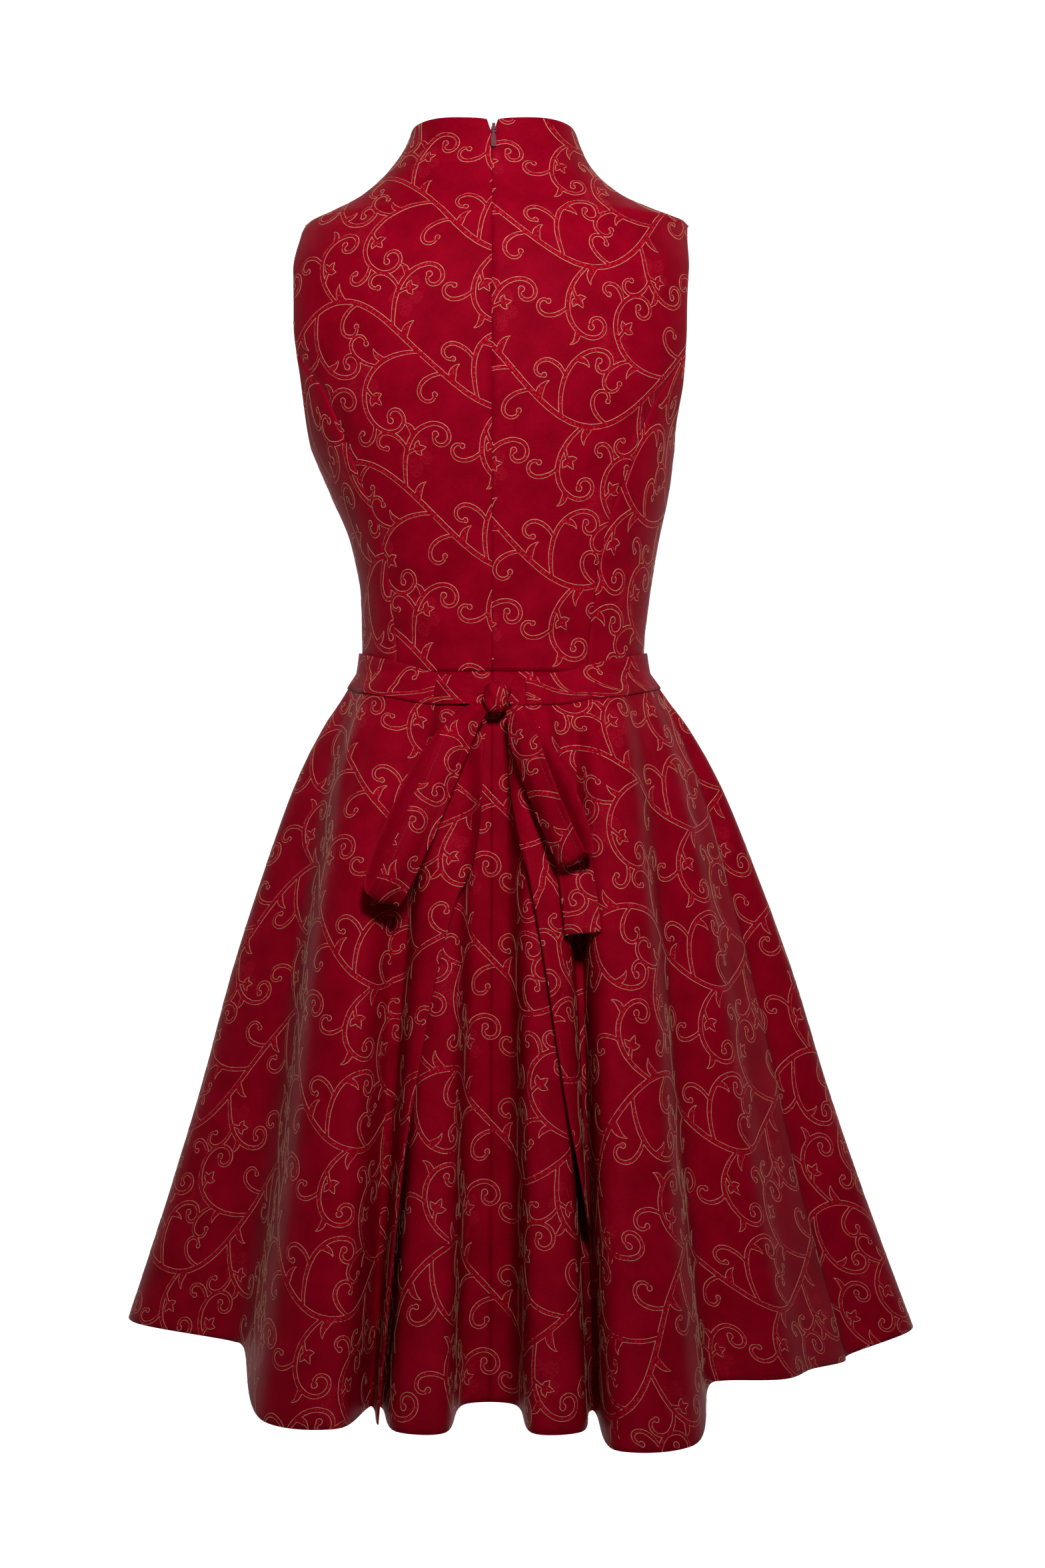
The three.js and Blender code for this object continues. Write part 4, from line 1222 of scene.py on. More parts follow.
    def _half(self) -> None:
        """Draws the first half of the repeat."""
        y = np.arange(-2, self.height / 2 + 2, self.step)
        vine = self._even(np.c_[self.width / 2 + self.sway * np.sin(TURN * y / self.height), y])
        from_end = np.minimum(np.arange(len(vine)), np.arange(len(vine))[::-1]) * self.step
        self.strokes.append(Stroke(vine, self.vine * np.clip(from_end / 3, 0.2, 1)))
        low, high, first, last = (
            self._branch(vine, share, turn, bends, self.branch) for share, turn, bends in self.branches
        )
        self._twig(low, 0.26, -48, -16)
        self._twig(low, 0.62, -44, -11)
        self._twig(high, 0.3, -46, -14)
        self._twig(first, 0.3, 46, 14)
        self._twig(last, 0.36, 46, 13)
        self._twig(vine, 0.86, -48, -15)
        self._twig(vine, 0.42, 46, 15)
        self._bud(low, 0.4, 48, 12, 9.5)
        self._bud(last, 0.2, -46, 12, 9.5)
        self._bud(first, 0.26, -50, 11, 8.5)
        for share, turn in ((0.12, -44), (0.5, -40), (0.8, 44)):
            self._thorn(vine, share, turn, 20)
        for host, share, turn in ((low, 0.2, -46), (high, 0.44, 46), (first, 0.42, 46), (last, 0.55, 46)):
            self._thorn(host, share, turn, 16)

    def outlines(self) -> tuple[Array, Array]:
        """The outline of the whole drawing, without what lies inside another band.

        Returns:
            Points, and the number of the run that each belongs to.
        """
        lines = np.concatenate([stroke.line for stroke in self.strokes])
        halves = np.concatenate([stroke.half for stroke in self.strokes])
        owner = np.repeat(np.arange(len(self.strokes)), [len(stroke.line) for stroke in self.strokes])
        shifts = [np.array([i * self.width, j * self.height]) for i in (-1, 0, 1) for j in (-1, 0, 1)]
        random = np.random.default_rng(self.seed)
        points, runs = [], []
        for number, stroke in enumerate(self.strokes):
            edge = stroke.edges()
            low, high = edge.min(axis=0) - self.margin, edge.max(axis=0) + self.margin
            hidden = np.zeros(len(edge), bool)
            for shift in shifts:
                moved = lines + shift
                near = np.all((moved > low) & (moved < high), axis=1)
                if not shift.any():
                    near &= owner != number
                if near.any():
                    gap = np.linalg.norm(edge[:, None] - moved[near][None], axis=-1)
                    hidden |= np.any(gap < halves[near] - self.overlap, axis=1)
            phase = np.arange(len(edge)) * self.step / self.waver_length + random.uniform(0, 6.3)
            edge = edge + left_of(np.gradient(edge, axis=0)) * (self.waver * np.sin(phase))[:, None]
            points.append(edge[~hidden])
            runs.append(number * RUNS_IN_STROKE + _groups(~hidden)[~hidden])
        return np.concatenate(points), np.concatenate(runs)


def _groups(shows: Array) -> Array:
    """Numbers each unbroken stretch of true values."""
    starts = shows & ~np.r_[False, shows[:-1]]
    return np.cumsum(starts)


def _starts(runs: Array) -> Array:
    """Where a new run begins."""
    return np.r_[True, runs[1:] != runs[:-1]]


class Edge(Enum):
    """An edge of a panel."""

    TOP = "top"
    BOTTOM = "bottom"
    LEFT = "left"
    RIGHT = "right"


@dataclass
class Weaving:
    """Lays the scroll on panels of cloth, as raised outlines and a flat fill."""

    repeat: ScrollRepeat = field(default_factory=ScrollRepeat)
    line_width: float = 0.46
    line_height: float = 0.2
    fill_height: float = 0.13
    longest: float = 5.0
    sharpest: float = 21.0
    line_foot: float = -0.04
    fill_inset: float = 0.1
    fill_least: float = 0.05
    fill_layers: int = 9
    fill_layer: float = 0.008
    stitch: float = 2.2
    stitch_pitch: float = 1.5
    stitch_half: float = 0.15
    stitch_height: float = 0.16
    stitch_rows: int = 3
    corner: float = 4.0
    inset: float = 2.4
    least_cell: float = 0.2

    def __post_init__(self) -> None:
        """Reads the repeat's outlines and middle lines."""
        self.edge, self.edge_run = self.repeat.outlines()
        strokes = self.repeat.strokes
        self.middle = np.concatenate([stroke.line for stroke in strokes])
        self.half = np.concatenate([stroke.half for stroke in strokes])
        self.middle_run = np.repeat(np.arange(len(strokes)), [len(stroke.line) for stroke in strokes])

    def _copies(self, cloth: Cloth, points: Array, runs: Array) -> tuple[Array, Array, Array]:
        """Repeats a drawing over a panel's cut.

        Args:
            cloth: The panel.
            points: The drawing's points.
            runs: Their runs.

        Returns:
            All points, their runs, and each one's row in the drawing.
        """
        cut = cloth.flat().reshape(-1, 2)
        size = np.array([self.repeat.width, self.repeat.height])
        low = np.floor(cut.min(axis=0) / size).astype(int) - 1
        high = np.ceil(cut.max(axis=0) / size).astype(int) + 1
        shifts = [(i, j) for i in range(low[0], high[0]) for j in range(low[1], high[1])]
        all_points = np.concatenate([points + np.array(shift) * size for shift in shifts])
        all_runs = np.concatenate([runs + number * RUNS_IN_COPY for number in range(len(shifts))])
        return all_points, all_runs, np.tile(np.arange(len(points)), len(shifts))

    def _thin(self, points: Array, runs: Array) -> Array:
        """Chooses the points to keep, so that bends stay smooth and spans stay short.

        Args:
            points: Points in order.
            runs: Their runs.

        Returns:
            Whether each one is kept.
        """
        step = np.diff(points, axis=0, prepend=points[:1])
        length = np.linalg.norm(step, axis=1)
        turn = np.degrees(np.arctan2(step[:, 1], step[:, 0]))
        bend = np.abs((np.diff(turn, prepend=turn[:1]) + 180) % 360 - 180)
        fresh = _starts(runs)
        after = np.r_[False, fresh[:-1]]
        bent = np.where(after, 0, bend / self.sharpest)
        count = np.cumsum(np.where(fresh, 0, length / self.longest + bent))
        crossed = np.floor(count) != np.floor(np.r_[count[:1], count[:-1]])
        return fresh | np.r_[fresh[1:], True] | crossed

    def _kept(self, cloth: Cloth, points: Array, runs: Array, rows: Array) -> tuple[Array, Array, Array]:
        """Drops what lies off the panel, and the points that aren't needed.

        Args:
            cloth: The panel.
            points: Places on the cut.
            runs: Their runs.
            rows: Their rows in the drawing.

        Returns:
            The points, runs and rows that are left.
        """
        _, _, within = cloth.places(points)
        runs = runs * PARTS_OF_RUN + _groups(within) % PARTS_OF_RUN
        points, runs, rows = points[within], runs[within], rows[within]
        keep = self._thin(points, runs)
        points, runs, rows = points[keep], runs[keep], rows[keep]
        _, where, counts = np.unique(runs, return_inverse=True, return_counts=True)
        long_enough = counts[where] >= LEAST_ROWS
        return points[long_enough], runs[long_enough], rows[long_enough]

    def _ribbon(
        self,
        cloth: Cloth,
        name: str,
        parts: list[Array],
        lifts: list[Array | float],
        runs: Array,
        finish: Finish,
    ) -> Piece | None:
        """Makes strips on a panel from the places of their left edge, middle and right edge.

        Args:
            cloth: The panel.
            name: The piece's name.
            parts: Places on the cut, one array for each column, from the strips' left edge.
            lifts: Heights above the cloth, one for each column.
            runs: The run of each row.
            finish: The strips' finish.

        Returns:
            The piece, or None where nothing lies on the panel.
        """
        if len(runs) < LEAST_ROWS:
            return None
        columns = []
        for places, lift in zip(parts, lifts):
            row, column, _ = cloth.places(places)
            point, way = cloth.on_face(row, column)
            columns.append(point + way * np.reshape(lift, (-1, 1)))
        points = np.stack(columns, axis=1)
        middle = (parts[0] + parts[-1]) / 2
        length = np.linalg.norm(np.diff(middle, axis=0, prepend=middle[:1]), axis=1)
        along = np.cumsum(np.where(_starts(runs), 0, length)) * MM
        width = np.linalg.norm(parts[-1] - parts[0], axis=1) * MM
        shares = np.linspace(-0.5, 0.5, len(parts))
        uv = np.stack([np.stack([along, share * width], axis=1) for share in shares], axis=1)
        breaks = np.flatnonzero(runs[1:] != runs[:-1])
        return grid_object(name, points, uv, finish, breaks)

    def lay(self, cloth: Cloth) -> list[Piece]:
        """Lays the scroll on a panel.

        Args:
            cloth: The panel.

        Returns:
            The outlines' and the fill's pieces.
        """
        points, runs, _ = self._kept(cloth, *self._copies(cloth, self.edge, self.edge_run))
        side = _side(points, runs) * self.line_width / 2
        parts = [points + side, points, points - side]
        lifts = [self.line_foot, self.line_height, self.line_foot]
        lines = self._ribbon(cloth, cloth.name + "_outline", parts, lifts, runs, GOLD)
        points, runs, rows = self._kept(cloth, *self._copies(cloth, self.middle, self.middle_run))
        half = np.maximum(self.half[rows] - self.fill_inset, self.fill_least)
        side = _side(points, runs) * half[:, None]
        lift = self.fill_height + (self.middle_run[rows] % self.fill_layers) * self.fill_layer
        parts = [points + side, points - side]
        fill = self._ribbon(cloth, cloth.name + "_scroll", parts, [lift, lift], runs, FILL)
        return [piece for piece in (lines, fill) if piece]

    def sew(self, cloth: Cloth, edges: Sequence[Edge]) -> list[Piece]:
        """Sews a row of small stitches along some of a panel's edges.

        Args:
            cloth: The panel.
            edges: The edges.

        Returns:
            The stitches, as one piece, or nothing where no edge is given.
        """
        if not edges:
            return []
        points = np.concatenate([self._stitches(cloth, edge) for edge in edges])
        breaks = np.arange(self.stitch_rows - 1, len(points) - 1, self.stitch_rows)
        uv = points[..., [0, 2]] * MM
        return [grid_object(cloth.name + "_stitches", points, uv, THREAD, breaks)]

    def _stitches(self, cloth: Cloth, edge: Edge) -> Array:
        """Places the stitches along one edge.

        Args:
            cloth: The panel.
            edge: The edge.

        Returns:
            A few rows of three points for each stitch.
        """
        level = edge in (Edge.TOP, Edge.BOTTOM)
        first = edge in (Edge.BOTTOM, Edge.LEFT)
        grid = cloth.points if level else cloth.points.swapaxes(0, 1)
        line = grid[0 if first else -1]
        run = run_along(line)
        starts = np.arange(self.corner, run[-1] - self.corner, self.stitch * self.stitch_pitch)
        marks = (starts[:, None] + np.linspace(0, self.stitch, self.stitch_rows)).reshape(-1)
        along = np.interp(marks, run, np.arange(len(line), dtype=float))
        near = grid[:2, 0] if first else grid[-2:, 0]
        cell = max(float(np.linalg.norm(near[1] - near[0])), self.least_cell)
        last = len(grid) - 1
        offsets = (self.inset - self.stitch_half, self.inset, self.inset + self.stitch_half)
        across = np.array(offsets) / cell
        columns = []
        for place, lift in zip(across if first else last - across, (0.0, self.stitch_height, 0.0)):
            beside = np.full(len(along), np.clip(place, 0, last))
            point, way = cloth.on_face(*((beside, along) if level else (along, beside)))
            columns.append(point + way * lift)
        return np.stack(columns, axis=1)


def _side(points: Array, runs: Array) -> Array:
    """Finds the way to the left of each run at each of its points.

    Args:
        points: Points in order.
        runs: Their runs.

    Returns:
        One unit vector for each point.
    """
    last, following = np.r_[points[:1], points[:-1]], np.r_[points[1:], points[-1:]]
    starts = _starts(runs)
    ends = np.r_[starts[1:], True]
    last[starts] = points[starts]
    following[ends] = points[ends]
    return left_of(following - last)


# ---- Sub-assemblies ----


class Hold(Enum):
    """How a sheet of cloth is held."""

    HUNG = "hung"
    STRETCHED = "stretched"
    FOLDED = "folded"


@dataclass
class Workshop:
    """Makes panels into pieces of the dress."""

    weaving: Weaving = field(default_factory=Weaving)

    def panel(
        self,
        cloth: Cloth,
        wall: float,
        hold: Hold,
        rests_on: Sequence[str],
        slot: str,
        woven: bool = True,
        sewn: Sequence[Edge] = (),
    ) -> None:
        """Makes one panel, with the scroll on it, in the place of its node.

        Args:
            cloth: The panel, named as its node.
            wall: Its thickness.
            hold: How it is held. Not used.
            rests_on: The nodes that it hangs from or lies on. Not used.
            slot: Its material slot. Not used.
            woven: Whether the scroll shows on it.
            sewn: The edges that have a row of stitches.
        """
        piece = grid_object(cloth.name + "_cloth", cloth.points, cloth.flat() * MM, GROUND)
        thicken(piece, wall)
        threads = (self.weaving.lay(cloth) if woven else []) + self.weaving.sew(cloth, sewn)
        for part in (piece, *threads):
            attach(part, "dress")
        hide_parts(cloth.name)
        width, length = cloth.cut_size()
        area = min(cloth.area(), width * length)
        LOG.info("%s: cut %.3f x %.3f m, %.4f m2", cloth.name, width, length, area)


@dataclass
class Garment:
    """A sub-assembly that is cut and sewn in the workshop."""

    shop: Workshop


@dataclass
class Bodice(Garment):
    """The sleeveless bodice with the funnel collar cut in one with its back."""

    wall: float = 1.0
    armhole_middle: float = -95.0
    armhole_half: float = 94.0
    armhole_angle: float = 22.0
    princess_top: float = -112.0
    back_seams: tuple = ((-150, 134), (-190, 117), (-240, 97), (-290, 85), (-340, 78.5), (WAIST_Z, 77))
    front_seams: tuple = ((-170, 129), (-250, 141), (WAIST_Z, 147))
    collar_top: Curve = Curve(((0, 73), (12, 75), (45, 77.5), (70, 76), (90, 69)))
    neckline: tuple = (
        (0, 180, -72), (0.2, 167, -52), (0.45, 146, -18), (0.7, 124, 20), (0.88, 108, 48),
        (1, 100, 64.5),
    )
    notch_bottom: float = 60.0
    notch_angle: float = 3.8
    creases: tuple = Crease.table(
        (-72, -345, -20, -353, 6, -1.3), (14, -352, 84, -339, 6, -1.2),
        (-88, -318, -34, -331, 8, 1.0), (30, -326, 98, -311, 8, 0.9),
        (-98, -290, -62, -300, 7, -0.9), (70, -296, 112, -284, 7, -1.0),
        (-142, -150, -96, -206, 9, -1.3), (142, -147, 99, -200, 9, -1.2),
        (-64, 42, -20, 27, 7, 0.9), (22, 29, 64, 41, 7, 0.8),
        (-118, -40, -84, -96, 10, 0.8), (120, -44, 88, -92, 10, 0.7),
        (-96, -300, -30, -322, 9, -1.2, True), (36, -324, 100, -304, 9, -1.1, True),
        (-120, -150, -82, -120, 9, -1.1, True), (118, -152, 80, -118, 9, -1.2, True),
    )
    seam_depth: float = 0.5
    # how much of the neckline lies level with the armhole, and with the shoulder
    neck_parts: tuple[int, int] = (4, 5)
    rows: tuple[int, int, int] = (76, 46, 26)
    back_columns: int = 54
    front_columns: int = 46
    side_columns: int = 30

    def _reach(self, z: Array) -> Array:
        """How far the armhole's edge lies from the side seam's line, in degrees."""
        up = np.clip((z - self.armhole_middle) / self.armhole_half, -1, 1)
        return self.armhole_angle * np.sqrt(1 - up * up)

    def _heights(self, low: float, high: float, count: int) -> Array:
        """Spaces heights evenly round the armhole's ellipse.

        Args:
            low: The first height.
            high: The last height.
            count: How many.

        Returns:
            The heights.
        """
        shares = ((z - self.armhole_middle) / self.armhole_half for z in (low, high))
        turn = [math.asin(max(-1, min(1, share))) for share in shares]
        return self.armhole_middle + self.armhole_half * np.sin(np.linspace(*turn, count))

    def _back_princess(self, side: int) -> Curve:
        """A back princess seam.

        Args:
            side: -1 for the left one, 1 for the right one.

        Returns:
            Its angle by height.
        """
        width = FORM.section["left" if side < 0 else "right"]
        rows = []
        for z, out in self.back_seams:
            share = out / float(width(z))
            rows.append((z, math.degrees(math.asin(share ** (float(FORM.section["power"](z)) / 2)))))
        rows.append((self.princess_top, SIDE_SEAM - float(self._reach(self.princess_top))))
        return Curve(rows)

    def _front_princess(self) -> Curve:
        """The front princess seams' angle by height."""
        end = (self.princess_top, SIDE_SEAM + float(self._reach(self.princess_top)))
        return Curve((*self.front_seams, end))

    def _outer(self, princess: Curve, facing: int) -> tuple[Array, Array, Array, Array]:
        """The outer edge of a back or front panel: princess seam, armhole, then shoulder.

        Args:
            princess: The seam's angle by height.
            facing: -1 for the back, 1 for the front.

        Returns:
            Angles and heights, how far up the armhole each row is, and how far up the shoulder.
        """
        tip = self.armhole_middle + self.armhole_half
        seam = np.linspace(WAIST_Z, self.princess_top, self.rows[0])
        armhole = self._heights(self.princess_top, tip, self.rows[1])[1:]
        shoulder = np.linspace(tip, float(self.collar_top(SIDE_SEAM)), self.rows[2])[1:]
        edge = SIDE_SEAM + facing * self._reach(armhole)
        angle = np.r_[princess(seam), edge, np.full(len(shoulder), SIDE_SEAM)]
        below, beside, above = len(seam), len(armhole), len(shoulder)
        up_armhole = np.r_[np.zeros(below), np.arange(1, beside + 1) / beside, np.ones(above)]
        up_shoulder = np.r_[np.zeros(below + beside), np.arange(1, above + 1) / above]
        return angle, np.r_[seam, armhole, shoulder], up_armhole, up_shoulder

    def _back(self, side: int) -> tuple[Array, Array]:
        """Lays out a back panel, from centre back out.

        Args:
            side: -1 for the left one, 1 for the right one.

        Returns:
            Angles and heights.
        """
        angle, z, _, collar = self._outer(self._back_princess(side), -1)
        top = float(self.collar_top(0))
        centre = mix(z, top, soft_step(collar, 0, 1))
        above = (centre - self.notch_bottom) / (top - self.notch_bottom)
        parted = self.notch_angle * np.clip(above, 0, 1)
        share = np.linspace(0, 1, self.back_columns)
        around = mix(parted[:, None], angle[:, None], share)
        straight = mix(centre[:, None], z[:, None], share)
        edge = mix(top, float(self.collar_top(SIDE_SEAM)), share)
        return around, straight + collar[:, None] * (self.collar_top(around) - edge)

    def _front(self) -> tuple[Array, Array]:
        """Lays out a front panel, from the princess seam to centre front.

        Returns:
            Angles and heights.
        """
        angle, z, armhole, shoulder = self._outer(self._front_princess(), 1)
        whole = sum(self.neck_parts)
        up = armhole * self.neck_parts[0] / whole + shoulder * self.neck_parts[1] / whole
        lowest = self.neckline[0][2]
        below = up == 0
        rise = (z - WAIST_Z) / (self.princess_top - WAIST_Z)
        centre_angle = np.where(below, 180, Curve(self.neckline, 1)(up))
        centre_z = np.where(below, mix(WAIST_Z, lowest, rise), Curve(self.neckline, 2)(up))
        share = np.linspace(0, 1, self.front_columns)
        around = mix(angle[:, None], centre_angle[:, None], share)
        return around, mix(z[:, None], centre_z[:, None], share)

    def _side(self, princess: Curve, facing: int) -> tuple[Array, Array]:
        """Lays out a side panel, from its princess seam to the side seam.

        Args:
            princess: The seam's angle by height.
            facing: -1 for the back, 1 for the front.

        Returns:
            Angles and heights.
        """
        underarm = self.armhole_middle - self.armhole_half
        top = self._heights(self.princess_top, underarm, self.side_columns)
        up = np.linspace(0, 1, self.rows[0])[:, None]
        z = mix(WAIST_Z, top[None, :], up)
        end = SIDE_SEAM + facing * self._reach(top)
        full = (end - princess(top)) / (SIDE_SEAM - princess(top))
        share = mix(np.linspace(0, 1, self.side_columns)[None, :], full, up)
        return mix(princess(z), SIDE_SEAM, share), z

    def build(self) -> None:
        """Makes the bodice's eight panels."""
        for side, hand in ((1, "right"), (-1, "left")):
            # each panel: its places, whether its columns run to the right, its grain and its shift
            panels = {
                "back": (self._back(side), True, 0.06, (19 - 19 * side, 24 + 6 * side)),
                "side_back": (self._side(self._back_princess(side), -1), True, 0.5, (side * 96, 118)),
                "side_front": (self._side(self._front_princess(), 1), False, 0.5, (40, 20)),
                "front": (self._front(), True, 0.94, (0, 60)),
            }
            for part, ((angle, z), rising, grain, shift) in panels.items():
                angle = angle * side
                if (side > 0) != rising:
                    angle, z, grain = angle[:, ::-1], z[:, ::-1], 1 - grain
                points = spread_out(dented(FORM.bodice(angle, z), self.creases, self.seam_depth))
                neighbour = ["skirt_front" if "front" in part else f"skirt_back_{hand}"]
                cloth = Cloth(f"bodice_{part}_{hand}", points, grain, shift=shift)
                self.shop.panel(cloth, self.wall, Hold.STRETCHED, neighbour, "dress_fabric")


@dataclass
class Skirt(Garment):
    """The dress's flared skirt, of which only the part between the apron's edges shows."""

    wall: float = 1.0
    seen: float = 3.2
    drop: float = 550.0
    seam_depth: float = 0.4
    rows: int = 90
    seen_columns: int = 64
    hidden_columns: int = 33
    front_columns: int = 96
    creases: tuple = Crease.table(
        (4, -440, -8, -620, 5, -1.0), (16, -500, 30, -700, 6, 0.9),
        (-26, -640, -40, -860, 7, -1.0), (30, -760, 44, -900, 7, -1.0),
        (-60, -420, -110, -700, 10, -1.0, True), (60, -420, 110, -700, 10, -1.0, True),
    )

    def _columns(self, end: float) -> Array:
        """Fold numbers from centre back to a side seam, close together where the skirt shows."""
        near = np.linspace(0, self.seen, self.seen_columns)
        return np.r_[near, np.linspace(self.seen, end, self.hidden_columns)[1:]]

    def build(self) -> None:
        """Makes the skirt's three gores."""
        rises = np.linspace(0, 1 - SEAM_GAP / self.drop, self.rows)[:, None]
        share = (self.seen_columns - 1) / (self.seen_columns + self.hidden_columns - 2)
        right = self._columns(FORM.right_side)
        left = FORM.count - self._columns(FORM.count - FORM.left_side)[::-1]
        front = np.linspace(FORM.right_side, FORM.left_side, self.front_columns)
        gores = (
            ("skirt_back_right", right, 0.0, (0.0, share)),
            ("skirt_front", front, 0.5, None),
            ("skirt_back_left", left, 1.0, (1 - share, 1.0)),
        )
        for name, folds, grain, shown in gores:
            points = spread_out(dented(FORM.skirt(folds[None, :], rises), self.creases, self.seam_depth))
            cloth = Cloth(name, points, grain, True, (10, 30), shown or (0.0, 1.0))
            rests = ["bodice_front_left"] if name == "skirt_front" else [name.replace("skirt", "bodice")]
            self.shop.panel(cloth, self.wall, Hold.HUNG, rests, "dress_fabric", shown is not None)


@dataclass
class Apron(Garment):
    """The wrap apron: three gores, its band, and the two ties that run to the knot."""

    wall: float = 0.9
    solid_wall: float = 1.3
    slit: tuple = (
        (-395, -2, 11), (-460, -9, 18), (-516, -19, 27), (-600, -38, 40), (-706, -54, 54),
        (-800, -64, 67), (-870, -70, 76), (-945, -76, 85),
    )
    lift_height: float = 3.5
    lift_reach: float = 0.5
    clear_waist: float = 0.95
    clear_skirt: float = 3.4
    band: tuple = ((0, -385, -403), (22, -374, -400), (45, -363, -394), (90, -354, -385), (180, -352, -382))
    band_end_right: float = 11.0
    band_end_left: float = 21.5
    band_wall: float = 1.8
    band_cloth: float = 1.2
    band_clear_bodice: float = 1.2
    band_clear_skirt: float = 2.2
    tie_rise: float = 4.0
    tie_left_end: float = -6.1
    tie_right_end: float = 16.6
    tie_rows: int = 22
    tie_columns: int = 26
    pleat: float = 0.8
    pleat_turn: float = 0.66
    edge_roll: float = 0.5
    edge_steepness: float = 14.0
    band_fade: float = 20.0
    top_rise: float = 0.945
    highest: float = 0.985
    tucked: float = 4.0
    seam_depth: float = 0.3
    freed: tuple[float, float] = (0.05, 0.3)
    cleared: tuple[float, float] = (0.03, 0.2)
    rise_steps: tuple[float, float] = (0.02, 0.002)
    creases: tuple = Crease.table(
        (-60, -408, -108, -570, 6, 1.3), (-90, -404, -156, -560, 7, -1.4),
        (-118, -450, -205, -690, 9, 1.2), (-150, -640, -176, -860, 9, -1.3),
        (-236, -760, -262, -880, 9, -1.2), (58, -414, 86, -560, 5, 1.2),
        (88, -404, 142, -600, 8, -1.4), (112, -400, 198, -620, 9, 1.2),
        (150, -420, 236, -700, 11, -1.3), (176, -700, 196, -880, 9, 1.1),
        (238, -720, 262, -890, 10, -1.2), (-46, -560, -70, -760, 5, 0.9),
        (-120, -420, -190, -700, 10, -1.3, True), (-60, -410, -92, -640, 9, 1.1, True),
        (66, -412, 96, -650, 9, 1.1, True), (128, -420, 196, -700, 10, -1.3, True),
    )
    band_creases: tuple = Crease.table(
        (-46, -390, -6, -396, 2.4, -1.0), (-44, -382, -7, -391, 2.0, 0.8),
        (-42, -399, -9, -401, 2.2, 0.8), (14, -396, 46, -388, 2.4, -0.9),
        (15, -390, 42, -380, 2.0, 0.7), (-104, -372, -62, -384, 5, 0.7),
        (70, -384, 112, -370, 5, 0.7), (-70, -366, -20, -372, 5, -0.6, True),
        (24, -370, 80, -364, 5, -0.6, True),
    )

    def __post_init__(self) -> None:
        """Makes the curves through the tables."""
        self.slit_left, self.slit_right = Curve(self.slit, 1), Curve(self.slit, 2)
        self.band_top, self.band_bottom = Curve(self.band, 1), Curve(self.band, 2)

    def _edge_height(self, rise: Array) -> Array:
        """The height at which a rise crosses the back edges."""
        return mix(FORM.folds[0][2], WAIST_Z, rise)

    def right_edge(self, rise: Array) -> Array:
        """The right back edge's fold number at a rise."""
        z = self._edge_height(rise)
        return FORM.fold_at(self.slit_right(z), z, -0.5, 3)

    def left_edge(self, rise: Array) -> Array:
        """The left back edge's fold number at a rise."""
        z = self._edge_height(rise)
        return FORM.fold_at(self.slit_left(z), z, FORM.count - 2.5, FORM.count + 0.5)

    def near(self, fold: Array, rise: Array) -> Array:
        """How far the apron's inner face lies out from the dress.

        Args:
            fold: Fold numbers.
            rise: From 0 at the hem to 1 at the waist.

        Returns:
            One distance for each place.
        """
        inside = np.maximum(np.minimum(fold - self.right_edge(rise), self.left_edge(rise) - fold), 0)
        free = soft_step(1 - rise, *self.freed)
        lift = self.lift_height * free * np.exp(-inside / self.lift_reach)
        return mix(self.clear_waist, self.clear_skirt, soft_step(1 - rise, *self.cleared)) + lift

    def _from_back(self, fold: Array) -> Array:
        """The angle round the waist, the short way from centre back."""
        angle = FORM.waist_angle(np.mod(fold, FORM.count))
        return np.where(angle > 180, 360 - angle, angle)

    def _right_seam(self, rise: Array) -> Array:
        """The right side seam's fold number at a rise."""
        return np.full(rise.shape, float(FORM.right_side))

    def _left_seam(self, rise: Array) -> Array:
        """The left side seam's fold number at a rise."""
        return np.full(rise.shape, float(FORM.left_side))

    def _gore(self, name: str, low: Line, high: Line, columns: int, rows: int) -> Cloth:
        """One gore between two lines down the skirt.

        Args:
            name: Its node.
            low: Fold number of its first column at a rise.
            high: Fold number of its last column.
            columns: How many columns.
            rows: How many rows.

        Returns:
            The gore.
        """
        share = np.linspace(0, 1, columns)
        rise = np.linspace(0, self.top_rise, rows)[:, None]
        fold = mix(low(rise), high(rise), share)
        top = FORM.rise_at(fold[-1], self.band_bottom(self._from_back(fold[-1])) + self.tucked)
        rise = rise / self.top_rise * np.minimum(top, self.highest)
        way = outward(FORM.skirt, fold, rise, self.rise_steps)
        points = FORM.skirt(fold, rise) + way * (self.near(fold, rise) + self.solid_wall)[..., None]
        points = spread_out(dented(points, self.creases, self.seam_depth))
        return Cloth(name, points, flared=True, shift=(24, 12))

    def _strip(self, name: str, folds: Array, near: Face, rows: int, shift: tuple[float, float]) -> Cloth:
        """A strip of the band between its two edges.

        Args:
            name: Its node.
            folds: Fold numbers of its columns.
            near: How far its inner face lies out from the dress.
            rows: How many rows.
            shift: Where it lies on the cloth's drawing.

        Returns:
            The strip.
        """
        angle = self._from_back(folds)
        up = np.linspace(0, 1, rows)[:, None]
        z = mix(self.band_bottom(angle), self.band_top(angle), up)
        fold = np.broadcast_to(folds, z.shape)
        roll = self.edge_roll * np.exp(-np.minimum(up, 1 - up) * self.edge_steepness)
        way = outward(FORM.dress, fold, z, FOLD_STEPS)
        points = FORM.dress(fold, z) + way * (near(fold, z) + self.band_wall - roll)[..., None]
        return Cloth(name, spread_out(dented(points, self.band_creases)), shift=shift)

    def band_near(self, fold: Array, z: Array) -> Array:
        """How far the band's inner face lies out from the dress."""
        up = soft_step(z, WAIST_Z - self.band_fade, WAIST_Z)
        return mix(self.band_clear_skirt, self.band_clear_bodice, up)

